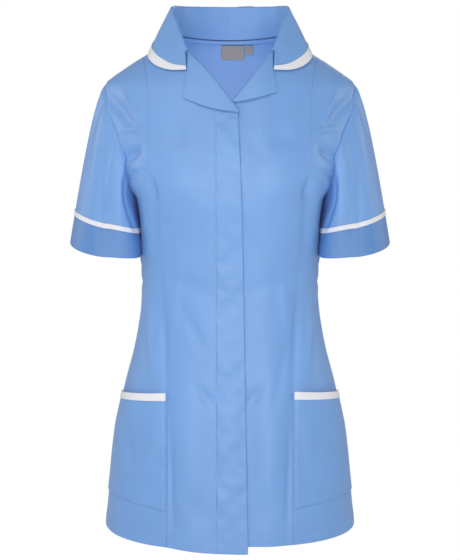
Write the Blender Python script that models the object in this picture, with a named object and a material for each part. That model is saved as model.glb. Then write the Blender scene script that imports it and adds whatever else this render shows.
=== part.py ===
"""A short-sleeved work tunic with a rounded rever collar, a covered front fastening, princess seams and
two hip pockets, filled out as it is when worn.

Right and left are the wearer's. The front faces -Y and the wearer's right arm is at -X. The origin is at
the middle of the neck, level with the points where the shoulder seams meet the collar.
Tables are in millimetres, and every other length is in metres.
"""

import math

import bmesh
import bpy
import numpy as np

MM = 0.001

# Cloth and seams
CLOTH = 1.2 * MM
COLLAR_CLOTH = 1.5 * MM
TAPE = 1.0 * MM
SEAM = 0.3 * MM
LAID_ON = 0.45 * MM
HALF_SEAM = SEAM / 2
NORMAL_STEP = 0.6 * MM
ANGLE_STEP = math.radians(0.6)

# Heights that the pieces share
HEM = -711 * MM
UNDERARM = -228.5 * MM
SHOULDER_POINT = -69.5 * MM
PRINCESS_TOP = -31.5 * MM
NECK_SIDE = -0.5 * MM
NECK_BACK = -9.5 * MM

# Rows of points up each body panel: hem to underarm, then underarm to shoulder
SKIRT_ROWS = 14
CHEST_ROWS = 12
BODY_ROWS = SKIRT_ROWS + CHEST_ROWS
SHOULDER_ROWS = 8
BACK_ROWS = BODY_ROWS + SHOULDER_ROWS

# Columns of points across each panel. A centre front's top runs along its roll line, its neck edge and
# its part of the shoulder seam. The back is counted from a side seam to its centre.
FRONT_COLUMNS = 14
NECK_COLUMNS = 4
SHOULDER_COLUMNS = 2
ROLL_COLUMNS = FRONT_COLUMNS - 1 - NECK_COLUMNS - SHOULDER_COLUMNS
SIDE_COLUMNS = 8
BACK_HALF = 12

# The share of the skirt's height below which a centre front's columns are evenly spread
EVEN_SHARE = 0.6

# The front laps right over left
OVERLAP_DROP = 10 * MM
OVERLAP_SEAM_DROP = 3.5 * MM
OVERLAP_POWER = 2.2
EDGE_TOP = {"across": 14.7 * MM, "height": -104.4 * MM}
EDGE_HEM = {"across": 25.4 * MM, "height": -718 * MM}
UNDERLAP_EDGE = -20 * MM
UNDERLAP_START = 3 * MM
UNDERLAP_BLEND = 34 * MM
UNDERLAP_GAP = 0.7 * MM

# Armhole: the widest angle that it reaches round the body from the side, front and back
ARMHOLE_FRONT = math.radians(25.3)
ARMHOLE_BACK = math.radians(22.5)
ARMHOLE_POWER = 1.25

# Pockets
POCKET_BOTTOM = -660 * MM
POCKET_MOUTH_FRONT = -496 * MM
POCKET_MOUTH_SIDE = -514 * MM
POCKET_GAPE = 5 * MM
POCKET_GAPE_DEPTH = 75 * MM
POCKET_GAPE_POWER = 1.3
POCKET_BAND = 10.5 * MM
POCKET_ARCH = 6 * MM
# Its points lie on the side front's columns, just inside the seams, and on these rows
POCKET_INSET = 0.09
POCKET_ROWS = (2, 3, 4, 5)

# Collar and lapels
ROLL_RADIUS = 2.6 * MM
ROLL_TURNS = (45, 90, 135)
STAND_SHARES = (0.34, 0.67)
FALL_SHARES = (0.2, 0.4, 0.6, 0.8)
COLLAR_FOOT = 0.8 * MM
COLLAR_BULGE = 1.2 * MM
COLLAR_FALL = 80 * MM
COLLAR_BAND = 8.5 * MM
SHOULDER_STATION = 4
FRONT_STATION_STEPS = 8
LAPEL_FOLD = 2.1 * MM
LAPEL_FOLD_GAP = 0.5 * MM
LAPEL_REST = 1.6 * MM
LAPEL_CROWN = 1.6 * MM
LAPEL_START = 0.03
LAPEL_FOLD_SHARE = 0.3
LAPEL_ROWS = 9
LAPEL_ACROSS = (0.0, 0.075, 0.15, 0.225, 0.3, 0.37, 0.5, 0.65, 0.82, 1.0)
NOTCH_GAP = 0.35 * MM

# Neck tape and labels inside the back neck: left, right, top and bottom, in millimetres
TAPE_GAP = 0.7 * MM
NECK_TAPE_ROWS = 0.68
LABEL_GAP = 0.9 * MM
LABEL_CLOTH = 1.0 * MM
LABEL_ROWS = 3
LABEL_COLUMNS = 4
LABELS = {
    "label": {"left": -13, "right": 21.5, "top": -15.3, "bottom": -36.5},
    "size_tab": {"left": 23, "right": 35, "top": -15.3, "bottom": -28},
}

# Sleeves. The hem is an oval round a point beside the body: its half widths, how its outer side rises
# and its front drops, how far its front inner corner leans out, and the powers that shape its corners.
SLEEVE_BAND = 7 * MM
ARMHOLE_GAP = 0.7 * MM
SLEEVE_STEPS = 9
CUFF_STEPS = 3
SLEEVE_HEM = {
    "across": 180.8, "back": 3, "height": -304, "half_across": 50.2, "half_depth": 57, "outer_rise": 7.5,
    "front_drop": 7, "corner_lean": 14, "front_corner": 0.64, "back_corner": 0.8, "outer_corner": 0.95,
}
# The white band's height, and how its outer side rises and its front drops
BAND_LEVEL = {"height": -264.5, "outer_rise": 12.5, "front_drop": 2}

# The filled-out form of the body, a row for each height, in millimetres. A section is a rounded box of
# that half width and those depths, and a power over 2 makes its corners fuller.
FORM = {
    "height": (8, 0, -10, -20, -30, -40, -50, -58, -66, -74, -87, -105, -125, -143, -159, -180, -198.5,
               -213, -223, -228.5, -240, -260, -300, -345, -385, -420, -455, -491, -527, -563, -600, -636,
               -672, -710, -730),
    "half_width": (68, 79, 92, 105.5, 119.5, 136, 151, 163, 173, 178.5, 182, 184, 178, 168, 160.5, 154,
                   150, 143.5, 137.5, 134, 131.5, 129.5, 128, 128, 128.5, 133.3, 140.5, 150.3, 159, 167, 172,
                   175.6, 179.3, 183.2, 184),
    "front_depth": (44, 50, 57, 64, 69.5, 74.5, 79, 82.5, 86, 89, 93, 99, 106, 111, 115, 118, 119.5, 119,
                    118, 117.5, 115.5, 111, 103.5, 98, 97.5, 100, 104, 109, 114, 118.5, 122.5, 126.5, 130.5,
                    134, 135.5),
    "back_depth": (58, 64, 70, 76, 81, 85, 89, 91.5, 94, 96, 98.5, 101, 102.5, 102.5, 101, 98.5, 96, 93.5,
                   92, 91, 88.5, 85, 78, 72.5, 72.5, 77.5, 85, 93, 99.5, 105, 109.5, 113, 116, 119, 120),
    "front_power": (1.85, 1.85, 1.85, 1.85, 1.85, 1.85, 1.86, 1.87, 1.88, 1.9, 1.95, 2.0, 2.1, 2.3, 2.5,
                    2.65, 2.7, 2.7, 2.65, 2.6, 2.55, 2.45, 2.35, 2.3, 2.3, 2.3, 2.3, 2.3, 2.3, 2.3, 2.3,
                    2.3, 2.3, 2.3, 2.3),
    "back_power": (2.0, 2.0, 2.0, 2.0, 2.0, 2.0, 2.0, 2.0, 2.0, 2.02, 2.05, 2.1, 2.2, 2.3, 2.35, 2.4, 2.4,
                   2.4, 2.4, 2.4, 2.35, 2.3, 2.25, 2.2, 2.2, 2.2, 2.25, 2.3, 2.3, 2.3, 2.3, 2.3, 2.3, 2.3,
                   2.3),
}

# The princess seam: its distance from the centre front at each height, in millimetres
PRINCESS = {
    "height": (-31.5, -62, -89, -130, -170, -204, -232, -268, -314, -370, -440, -497, -579, -664, -720),
    "across": (121.8, 115, 113, 112.4, 110.7, 106.3, 101, 98.3, 97, 95.5, 91, 88.6, 88.2, 88.4, 90),
}

# Roll lines, where the lapels turn back, from the gorge seam down: across and height
ROLL_RIGHT = {"across": (-58.2, -36.4, -21.6, -5.0, 13.2), "height": (-23.5, -44.3, -60.2, -81.6, -104.4)}
ROLL_LEFT = {"across": (58.2, 42, 26.1, 10, -2.5), "height": (-23.5, -42.8, -62.1, -81.5, -97.5)}

# The front neck edge from the top of the roll line up towards the shoulder seam
NECK_FRONT = {"across": (60.5, 66, 73), "height": (-24.5, -19, -11.5)}

# Lapels: the outer edge from the notch to the point, and the lower edge from the roll line to the point
LAPELS = {
    "right": {"roll": ROLL_RIGHT, "roll_end": 1.0, "notch": (-58.9, -49.4), "point": (-64.5, -86.4),
              "lower_sag": 4.0},
    "left": {"roll": ROLL_LEFT, "roll_end": 0.88, "notch": (58.9, -49.4), "point": (64.2, -78.5),
             "lower_sag": 2.0},
}

# The left half of the collar, in millimetres, from the centre back past the shoulder seam (the fifth
# column) to its front end. The roll is the top of the fold, and the edge is the outer edge of the fall,
# placed by its turn in degrees from the side of the body to the back.
COLLAR = {
    "roll_x": (0, 37, 66, 78.5, 81.3, 79.5, 73, 64.5, 58.2),
    "roll_y": (81, 76, 56, 27, 0, -13, -31, -48, -60.5),
    "roll_z": (39, 39.5, 40, 40, 38, 30.5, 15.5, -6.5, -21.5),
    "edge_turn": (90, 68, 45, 22, 0, -28, -45, -55.4, -65.1),
    "edge_z": (-33, -33, -31, -26.5, -22.5, -35.5, -45.5, -50, -49.6),
    "edge_lift": (7, 7, 6, 4.5, 3.2, 3, 3, 3, 3.3),
}

# Soft folds and fullness of the front, mirrored on both sides: centre, half length along the fold, its
# turn from upright in degrees, half width and height, in millimetres. A trough has a negative height.
FRONT_FOLDS = (
    {"across": 74, "height": -192, "long": 44, "turn": 0, "wide": 44, "rise": 5.0},
    {"across": 134, "height": -115, "long": 22, "turn": -24, "wide": 7, "rise": 1.8},
    {"across": 124, "height": -148, "long": 16, "turn": 62, "wide": 7, "rise": -2.0},
    {"across": 112, "height": -206, "long": 16, "turn": 30, "wide": 9, "rise": -2.0},
    {"across": 58, "height": -600, "long": 105, "turn": 4, "wide": 17, "rise": 3.0},
    {"across": 24, "height": -560, "long": 90, "turn": -3, "wide": 14, "rise": -2.6},
    {"across": 132, "height": -640, "long": 60, "turn": 12, "wide": 18, "rise": 2.6},
    {"across": 60, "height": -345, "long": 50, "turn": 70, "wide": 12, "rise": -1.6},
)
BACK_FOLDS = (
    {"across": 0, "height": -330, "long": 60, "turn": 88, "wide": 13, "rise": 2.2},
    {"across": 62, "height": -300, "long": 40, "turn": 70, "wide": 11, "rise": -2.0},
    {"across": 64, "height": -600, "long": 105, "turn": 3, "wide": 19, "rise": 3.2},
    {"across": 20, "height": -590, "long": 95, "turn": 2, "wide": 15, "rise": -2.8},
    {"across": 140, "height": -130, "long": 26, "turn": -20, "wide": 9, "rise": -2.0},
)

COLOURS = {
    "tunic_cloth": ((0.20, 0.41, 0.76, 1.0), 0.85),
    "white_band": ((0.86, 0.87, 0.89, 1.0), 0.8),
    "label_tape": ((0.33, 0.32, 0.34, 1.0), 0.75),
}


def smooth_table(table, column, at, scale=MM):
    """The table's column at a height or share, on a smooth curve through its rows."""
    keys = table["height"] if "height" in table else range(len(table[column]))
    keys = [float(k) for k in keys]
    values = table[column]
    if keys[0] > keys[-1]:
        keys, values = keys[::-1], values[::-1]
    return hermite(keys, values, at / scale if "height" in table else at) * scale


def hermite(keys, values, at):
    """A cubic through the values that keeps each row's mean slope."""
    at = min(max(at, keys[0]), keys[-1])
    i = min(max(int(np.searchsorted(keys, at)) - 1, 0), len(keys) - 2)

    def slope(k):
        low, high = max(k - 1, 0), min(k + 1, len(keys) - 1)
        return (values[high] - values[low]) / (keys[high] - keys[low])

    span = keys[i + 1] - keys[i]
    t = (at - keys[i]) / span
    start, end = slope(i) * span, slope(i + 1) * span
    return ((2 * t**3 - 3 * t**2 + 1) * values[i] + (t**3 - 2 * t**2 + t) * start
            + (3 * t**2 - 2 * t**3) * values[i + 1] + (t**3 - t**2) * end)


def power(value, exponent):
    """The value to that power, with its sign kept."""
    return math.copysign(abs(value) ** exponent, value)


def smooth_step(value):
    value = min(max(value, 0.0), 1.0)
    return value * value * (3 - 2 * value)


def mix(start, end, share):
    return start + (end - start) * share


FORM_CACHE = {}


def form_row(height):
    """Half width, front depth, back depth, front power and back power of the form at a height."""
    key = round(height * 1e7)
    if key not in FORM_CACHE:
        FORM_CACHE[key] = (
            smooth_table(FORM, "half_width", height),
            smooth_table(FORM, "front_depth", height),
            smooth_table(FORM, "back_depth", height),
            smooth_table(FORM, "front_power", height) / MM,
            smooth_table(FORM, "back_power", height) / MM,
        )
    return FORM_CACHE[key]


def form_point(angle, height):
    """A point of the bare form. The angle runs from the left side seam (0) round the front (a quarter
    turn) to the right side seam (a half turn) and on round the back."""
    half_width, front, back, front_power, back_power = form_row(height)
    in_front = math.sin(angle) >= 0
    depth, fullness = (front, front_power) if in_front else (back, back_power)
    return np.array((half_width * power(math.cos(angle), 2 / fullness),
                     -depth * power(math.sin(angle), 2 / fullness), height))


def form_normal(angle, height):
    """The outward direction of the form."""
    round_body = form_point(angle + ANGLE_STEP, height) - form_point(angle - ANGLE_STEP, height)
    up_body = form_point(angle, height + NORMAL_STEP) - form_point(angle, height - NORMAL_STEP)
    normal = np.cross(up_body, round_body)
    return normal / np.linalg.norm(normal)


def folds_at(point, folds):
    """How far the folds raise the cloth at a point of the form."""
    raised = 0.0
    for fold in folds:
        turn = math.radians(fold["turn"])
        for side in (1, -1) if fold["across"] else (1,):
            dx = side * point[0] / MM - fold["across"]
            dz = point[2] / MM - fold["height"]
            along = (dz * math.cos(turn) + dx * math.sin(turn)) / fold["long"]
            over = (dx * math.cos(turn) - dz * math.sin(turn)) / fold["wide"]
            raised += fold["rise"] * MM * math.exp(-along**2 - over**2)
    return raised


def skin(angle, height, out=0.0):
    """A point of the cloth's outer face, or one that far outside it."""
    point = form_point(angle, height)
    folds = FRONT_FOLDS if math.sin(angle) > 0 else BACK_FOLDS
    fade = smooth_step(abs(point[1]) / (25 * MM))
    return point + form_normal(angle, height) * (out + fade * folds_at(point, folds))


def front_angle(across, height):
    """The angle of the front of the form at a distance to the left of its centre."""
    half_width, _, _, fullness, _ = form_row(height)
    share = min(abs(across) / half_width, 1.0)
    angle = math.acos(share ** (fullness / 2))
    return angle if across >= 0 else math.pi - angle


def back_angle(across, height):
    half_width, _, _, _, fullness = form_row(height)
    share = min(abs(across) / half_width, 1.0)
    angle = math.acos(share ** (fullness / 2))
    return -angle if across >= 0 else angle - math.pi


def front_skin(across, height, out=0.0):
    return skin(front_angle(across, height), height, out)


def armhole(share, front):
    """(angle from the side, height) of the armhole seam, from the shoulder (0) to the underarm (1)."""
    height = mix(SHOULDER_POINT, UNDERARM, (1 - math.cos(math.pi * share)) / 2)
    reach = ARMHOLE_FRONT if front else ARMHOLE_BACK
    return reach * max(math.sin(math.pi * share), 0.0) ** ARMHOLE_POWER, height


def side_edge(row, front):
    """(angle from the side, height) of the side seam and, above the underarm, of the armhole."""
    if row <= SKIRT_ROWS:
        return 0.0, mix(HEM, UNDERARM, row / SKIRT_ROWS)
    return armhole(1 - (row - SKIRT_ROWS) / CHEST_ROWS, front)


def rise_to(top, row, bottom=HEM):
    """The height of a row of points in a column that ends at top: level rows below the underarm, and
    closer and closer together where the cloth turns over the shoulder."""
    if row <= SKIRT_ROWS:
        return mix(bottom, UNDERARM, row / SKIRT_ROWS)
    return mix(UNDERARM, top, math.sin(math.pi / 2 * (row - SKIRT_ROWS) / CHEST_ROWS))


def princess(height):
    return smooth_table(PRINCESS, "across", height)


def shoulder_height(across):
    """The height of the shoulder seam at a distance from the centre."""
    low, high = SHOULDER_POINT - 6 * MM, 8 * MM
    for _ in range(40):
        middle = (low + high) / 2
        if form_row(middle)[0] > abs(across):
            low = middle
        else:
            high = middle
    return low


def on_grid(place, row, column, out):
    """A point on the flat pieces between a panel's points, at a part row and column."""
    i, j = int(row), int(column)
    down, across = row - i, column - j
    low = place(i, j, out)
    if across:
        low = mix(low, place(i, j + 1, out), across)
    if not down:
        return low
    high = place(i + 1, j, out)
    if across:
        high = mix(high, place(i + 1, j + 1, out), across)
    return mix(low, high, down)


def material(slot):
    found = bpy.data.materials.get(slot)
    if found:
        return found
    colour, roughness = COLOURS[slot]
    found = bpy.data.materials.new(slot)
    found.use_nodes = True
    shader = found.node_tree.nodes["Principled BSDF"]
    shader.inputs["Base Color"].default_value = colour
    shader.inputs["Roughness"].default_value = roughness
    shader.inputs["Metallic"].default_value = 0.0
    return found


def cloth_wall(name, slot, outer, inner, closed=False):
    """A closed wall between two grids of points, open at its edges or closed round its second index."""
    rows, columns = len(outer), len(outer[0])
    mesh = bmesh.new()
    faces = [[[mesh.verts.new(p) for p in row] for row in grid] for grid in (outer, inner)]
    last = columns if closed else columns - 1

    def quad(*corners):
        mesh.faces.new(corners)

    for i in range(rows - 1):
        for j in range(last):
            k = (j + 1) % columns
            quad(faces[0][i][j], faces[0][i][k], faces[0][i + 1][k], faces[0][i + 1][j])
            quad(faces[1][i][j], faces[1][i + 1][j], faces[1][i + 1][k], faces[1][i][k])
    for j in range(last):
        k = (j + 1) % columns
        quad(faces[0][0][j], faces[1][0][j], faces[1][0][k], faces[0][0][k])
        quad(faces[0][-1][j], faces[0][-1][k], faces[1][-1][k], faces[1][-1][j])
    if not closed:
        for i in range(rows - 1):
            quad(faces[0][i][0], faces[0][i + 1][0], faces[1][i + 1][0], faces[1][i][0])
            quad(faces[0][i][-1], faces[1][i][-1], faces[1][i + 1][-1], faces[0][i + 1][-1])
    bmesh.ops.recalc_face_normals(mesh, faces=mesh.faces)
    data = bpy.data.meshes.new(name)
    mesh.to_mesh(data)
    mesh.free()
    data.shade_smooth()
    data.set_sharp_from_angle(angle=math.radians(40))
    data.materials.append(material(slot))
    made = bpy.data.objects.new(name, data)
    bpy.context.scene.collection.objects.link(made)
    return made


def wall_from(name, slot, place, rows, columns, top=0.0, thick=CLOTH, closed=False):
    """A wall whose points place(row, column, out) gives, from top down to top minus its thickness."""
    outer = [[place(i, j, top) for j in range(columns)] for i in range(rows)]
    inner = [[place(i, j, top - thick) for j in range(columns)] for i in range(rows)]
    return cloth_wall(name, slot, outer, inner, closed)


# Body panels


def front_edge(height):
    """Where the right front's edge lies, to the left of the centre."""
    down = (height - EDGE_TOP["height"]) / (EDGE_HEM["height"] - EDGE_TOP["height"])
    return mix(EDGE_TOP["across"], EDGE_HEM["across"], down)


def roll_point(roll, share):
    """(across, height) of a roll line at a share of the way down it."""
    at = share * (len(roll["across"]) - 1)
    keys = list(range(len(roll["across"])))
    return np.array((hermite(keys, roll["across"], at), hermite(keys, roll["height"], at))) * MM


def roll_side(roll, share):
    """The direction in the front view from a roll line into its panel, square to the line."""
    along = roll_point(roll, min(share + 0.02, 1.0)) - roll_point(roll, max(share - 0.02, 0.0))
    along /= np.linalg.norm(along)
    into = np.array((along[1], -along[0]))
    return into if into[1] < 0 else -into


def neck_front(side, share):
    """(across, height) of the neck edge from the top of the roll line (0) to the shoulder seam (1)."""
    keys = [0.0, 1 / 3, 2 / 3, 1.0]
    across = hermite(keys, (*NECK_FRONT["across"], form_row(NECK_SIDE)[0] / MM), share) * MM
    height = hermite(keys, (*NECK_FRONT["height"], NECK_SIDE / MM), share) * MM
    return np.array((side * across, height))


def front_top(side, roll, column):
    """(across, height) where a column of a front panel ends: on the roll line, the neck or the shoulder."""
    if column <= ROLL_COLUMNS:
        share = 1 - column / ROLL_COLUMNS
        return roll_point(roll, share) + roll_side(roll, share) * (LAPEL_FOLD + LAPEL_FOLD_GAP)
    if column <= ROLL_COLUMNS + NECK_COLUMNS:
        return neck_front(side, (column - ROLL_COLUMNS) / NECK_COLUMNS)
    share = (column - ROLL_COLUMNS - NECK_COLUMNS) / SHOULDER_COLUMNS
    across = mix(form_row(NECK_SIDE)[0], princess(PRINCESS_TOP), share)
    return np.array((side * across, shoulder_height(across)))


def front_panel(name, side, roll, edge, hem_drop, sink):
    """A centre front from its edge to the princess seam. sink(across, height) lowers the cloth where the
    other front covers it."""
    even_rows = SKIRT_ROWS * EVEN_SHARE

    def place(row, column, out):
        top = front_top(side, roll, column)
        share = column / (FRONT_COLUMNS - 1)
        height = rise_to(top[1], row, HEM - hem_drop(share))
        start, end = edge(top[1]), side * (princess(min(top[1], PRINCESS_TOP)) - HALF_SEAM)
        top_share = (top[0] - start) / (end - start)
        part = mix(share, top_share, smooth_step((row - even_rows) / (BODY_ROWS - even_rows)))
        if column == FRONT_COLUMNS - 1:
            part = 1.0
        seam = side * (princess(height) - HALF_SEAM)
        across = mix(edge(height), seam, part) if row < BODY_ROWS else top[0]
        point = front_skin(across, height, out - sink(across, height))
        point[1] = min(point[1], -HALF_SEAM)
        return point

    return wall_from(name, "tunic_cloth", place, BODY_ROWS + 1, FRONT_COLUMNS)


def side_front_place(side):
    def place(row, column, out):
        seam_height = rise_to(PRINCESS_TOP, row, HEM - (OVERLAP_SEAM_DROP if side < 0 else 0.0))
        seam_across = princess(seam_height) + HALF_SEAM
        side_angle, side_height = side_edge(row, True)
        seam_angle = front_angle(seam_across, seam_height) if row < BODY_ROWS else 0.0
        share = column / (SIDE_COLUMNS - 1)
        angle = mix(seam_angle, side_angle, share)
        point = skin(angle, mix(seam_height, side_height, share), out)
        point[1] = min(point[1], -HALF_SEAM)
        point[0] *= side
        return point

    return place


def back_neck(share):
    """(angle, height) of the back neck edge from a shoulder seam (0) to the centre back (1)."""
    return share * math.pi / 2, mix(NECK_SIDE, NECK_BACK, smooth_step(share))


def back_place(row, column, out):
    """A point of the back. Columns run from the left side to the right, and rows from the hem up past the
    armhole and along the shoulder seam to the neck."""
    side = 1 if column <= BACK_HALF else -1
    share = min(column, 2 * BACK_HALF - column) / BACK_HALF
    if row <= BODY_ROWS:
        side_angle, side_height = side_edge(row, False)
        centre_height = side_height
    else:
        up = (row - BODY_ROWS) / SHOULDER_ROWS
        side_angle, side_height = 0.0, mix(SHOULDER_POINT, NECK_SIDE, up)
        centre_height = mix(SHOULDER_POINT, NECK_BACK, up)
    height = mix(side_height, centre_height, smooth_step(share))
    point = skin(-mix(side_angle, math.pi / 2, share), height, out)
    point[1] = max(point[1], HALF_SEAM)
    point[0] *= side
    return point


def overlap_drop(share):
    """How far the right front hangs below the left, from its edge (0) to the princess seam (1)."""
    return mix(OVERLAP_DROP, OVERLAP_SEAM_DROP, share**OVERLAP_POWER)


def under_sink(across, height):
    """How deep the left front lies under the right one, near the front edge."""
    past = (across - front_edge(height) - UNDERLAP_START) / UNDERLAP_BLEND
    return (CLOTH + UNDERLAP_GAP) * (1 - smooth_step(past))


# Pockets


def pocket_mouth(share):
    """The height of the pocket's mouth from the princess seam (0) to the side seam (1)."""
    return mix(POCKET_MOUTH_FRONT, POCKET_MOUTH_SIDE, share)


POCKET_COLUMNS = (POCKET_INSET, *range(1, SIDE_COLUMNS - 1), SIDE_COLUMNS - 1 - POCKET_INSET)


def panel_row(height):
    return (height - HEM) / (UNDERARM - HEM) * SKIRT_ROWS


def pocket_point(side, column, row, out):
    """A point of the pocket's outer face, which stands away from the panel at the mouth."""
    share = column / (SIDE_COLUMNS - 1)
    height = mix(HEM, UNDERARM, row / SKIRT_ROWS)
    below = (pocket_mouth(share) - height) / POCKET_GAPE_DEPTH
    gape = POCKET_GAPE * math.sin(math.pi * share) ** POCKET_GAPE_POWER * (1 - smooth_step(below))
    return on_grid(side_front_place(side), row, column, LAID_ON + CLOTH + gape + out)


def pocket(name, side):
    def place(i, j, out):
        share = POCKET_COLUMNS[j] / (SIDE_COLUMNS - 1)
        bottom = panel_row(POCKET_BOTTOM + POCKET_ARCH * math.sin(math.pi * share))
        rows = (bottom, *POCKET_ROWS, panel_row(pocket_mouth(share)))
        return pocket_point(side, POCKET_COLUMNS[j], rows[i], out)

    return wall_from(name, "tunic_cloth", place, len(POCKET_ROWS) + 2, len(POCKET_COLUMNS))


def pocket_band(name, side):
    def place(i, j, out):
        share = POCKET_COLUMNS[j] / (SIDE_COLUMNS - 1)
        mouth, last = panel_row(pocket_mouth(share)), POCKET_ROWS[-1]
        row = mouth - (1 - i) * POCKET_BAND / (UNDERARM - HEM) * SKIRT_ROWS
        low, high = (pocket_point(side, POCKET_COLUMNS[j], r, out) for r in (last, mouth))
        return mix(low, high, (row - last) / (mouth - last))

    return wall_from(name, "white_band", place, 2, len(POCKET_COLUMNS), LAID_ON + TAPE, TAPE)


# Sleeves


def sleeve_hem(around):
    """A point of the right cuff's lower edge. around runs from the top of the arm round the front. The
    inner side lies flat along the body."""
    hem = SLEEVE_HEM
    outward, forward = math.cos(around), math.sin(around)
    inner = "front_corner" if forward > 0 else "back_corner"
    corner = hem["outer_corner"] if outward >= 0 else hem[inner]
    lean = hem["corner_lean"] * max(-outward, 0) * max(forward, 0)
    return np.array((
        lean - hem["across"] - hem["half_across"] * power(outward, corner),
        hem["back"] - hem["half_depth"] * power(forward, corner),
        hem["height"] + hem["outer_rise"] * outward - hem["front_drop"] * forward,
    )) * MM


def sleeve_seam(around):
    """A point of the right armhole seam."""
    around = around % (2 * math.pi)
    front = around <= math.pi
    angle, height = armhole(around / math.pi if front else 2 - around / math.pi, front)
    point = skin(angle if front else -angle, height)
    point[0] *= -1
    return point


def sleeve_surface(along, around):
    """The right sleeve from the armhole (0) to the hem (1). around is in radians. Each line along it
    leaves the armhole outwards, more at the top of the arm, and meets the hem nearly upright."""
    top, forward = math.cos(around), math.sin(around)
    under = max(-top, 0)
    start, end = sleeve_seam(around), sleeve_hem(around)
    leave = np.array((0.62 * under - 0.72, -0.30 * forward, 0.06 * top - 0.78))
    leave /= np.linalg.norm(leave)
    arrive = np.array((0.09 + 0.085 * top, 0.03 * forward, 1.0))
    arrive /= np.linalg.norm(arrive)
    leave_length = (24 + 10 * forward**2 - 8 * under**2) * MM
    arrive_length = (66 + 44 * top) * MM
    first, second = start + leave * leave_length, end + arrive * arrive_length
    start = start + leave * ARMHOLE_GAP
    keep = 1 - along
    return keep**3 * start + 3 * keep**2 * along * first + 3 * keep * along**2 * second + along**3 * end


def band_level(around):
    """The height of the white band's middle round the sleeve."""
    rise, drop = BAND_LEVEL["outer_rise"], BAND_LEVEL["front_drop"]
    return (BAND_LEVEL["height"] + rise * math.cos(around) - drop * math.sin(around)) * MM


def band_share(around, shift=0.0):
    """How far along the sleeve the white band's middle is, or a line that far above it."""
    low, high = 0.3, 1.0
    for _ in range(30):
        middle = (low + high) / 2
        if sleeve_surface(middle, around)[2] > band_level(around) + shift:
            low = middle
        else:
            high = middle
    return low


def sleeve_pieces(label, side):
    """The sleeve, its cuff and the white band over their seam."""
    turns = [math.pi * k / CHEST_ROWS for k in range(2 * CHEST_ROWS)]

    def tube(name, slot, limits, steps, top, thick):
        def place(i, j, out):
            around = turns[j]
            start, end = limits(around)
            along = mix(start, end, i / steps)
            near = 0.01
            if along < near:
                over = sleeve_surface(along + near, around) - sleeve_surface(along, around)
            else:
                over = sleeve_surface(along, around) - sleeve_surface(along - near, around)
            turn = sleeve_surface(along, around + 0.03) - sleeve_surface(along, around - 0.03)
            normal = np.cross(over, turn)
            point = sleeve_surface(along, around) + normal / np.linalg.norm(normal) * out
            point[0] *= -side
            return point

        return wall_from(name, slot, place, steps + 1, len(turns), top, thick, closed=True)

    half = SLEEVE_BAND / 2
    tube("sleeve_" + label, "tunic_cloth", lambda a: (0.0, band_share(a, HALF_SEAM)), SLEEVE_STEPS, 0.0,
         CLOTH)
    tube("cuff_" + label, "tunic_cloth", lambda a: (band_share(a, -HALF_SEAM), 1.0), CUFF_STEPS, 0.0,
         CLOTH)
    tube("sleeve_band_" + label, "white_band", lambda a: (band_share(a, half), band_share(a, -half)), 1,
         LAID_ON + TAPE, TAPE)


# Collar


def collar_section(station):
    """Seam, roll and edge points of the left half's collar, and the directions up to the roll and out."""
    def entry(column):
        return smooth_table(COLLAR, column, station)

    def roll_at(at):
        return np.array([smooth_table(COLLAR, c, at) for c in ("roll_x", "roll_y", "roll_z")])

    if station <= SHOULDER_STATION:
        angle, height = back_neck(1 - station / SHOULDER_STATION)
        seam = skin(-angle, height)
    else:
        seam = front_skin(*neck_front(1, 2 - station / SHOULDER_STATION))
    edge_angle = math.radians(-smooth_table(COLLAR, "edge_turn", station, 1.0))
    edge = skin(edge_angle, entry("edge_z"), entry("edge_lift"))
    roll = roll_at(station)
    last = 2 * SHOULDER_STATION
    along = roll_at(min(station + 0.1, last)) - roll_at(max(station - 0.1, 0))
    if station < 0.1:
        along = np.array((1.0, 0.0, 0.0))
    along /= np.linalg.norm(along)
    up = roll - (seam + edge) / 2
    up -= along * np.dot(up, along)
    up /= np.linalg.norm(up)
    out = np.cross(along, up)
    out /= np.linalg.norm(out)
    if np.dot(out, edge - seam) < 0:
        out = -out
    return seam, roll, edge, up, out


def collar_profile(station):
    """The visible face of the collar at a station, from the neck seam over the roll to the outer edge."""
    seam, roll, edge, up, out = collar_section(station)
    middle = roll - up * ROLL_RADIUS
    inside, outside = middle - out * ROLL_RADIUS, middle + out * ROLL_RADIUS
    foot = seam + up * COLLAR_FOOT
    points = [foot, *(mix(foot, inside, share) for share in STAND_SHARES), inside]
    for degrees in ROLL_TURNS:
        turn = math.radians(degrees)
        points.append(middle - out * ROLL_RADIUS * math.cos(turn) + up * ROLL_RADIUS * math.sin(turn))
    points.append(outside)
    bulge = out * COLLAR_BULGE
    fall = np.linalg.norm(edge - outside) / COLLAR_FALL
    for share in FALL_SHARES:
        points.append(mix(outside, edge, share) + bulge * math.sin(math.pi * share) * fall)
    points.append(edge)
    return points


def profile_point(points, share):
    at = share * (len(points) - 1)
    keys = list(range(len(points)))
    return np.array([hermite(keys, [p[axis] for p in points], at) for axis in range(3)])


def collar_surface(station, share):
    """station runs from the right front end (-8) round the back (0) to the left front end (8)."""
    point = profile_point(collar_profile(abs(station)), share)
    if station < 0:
        point[0] *= -1
    return point


def collar_place(stations, shares):
    def place(i, j, out):
        station, share = stations[i], shares[j]
        low, high = max(station - 0.08, stations[0]), min(station + 0.08, stations[-1])
        along = collar_surface(high, share) - collar_surface(low, share)
        over = collar_surface(station, min(share + 0.01, 1.0)) - collar_surface(station, max(share - 0.01, 0.0))
        normal = np.cross(along, over)
        return collar_surface(station, share) + normal / np.linalg.norm(normal) * out

    return place


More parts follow.
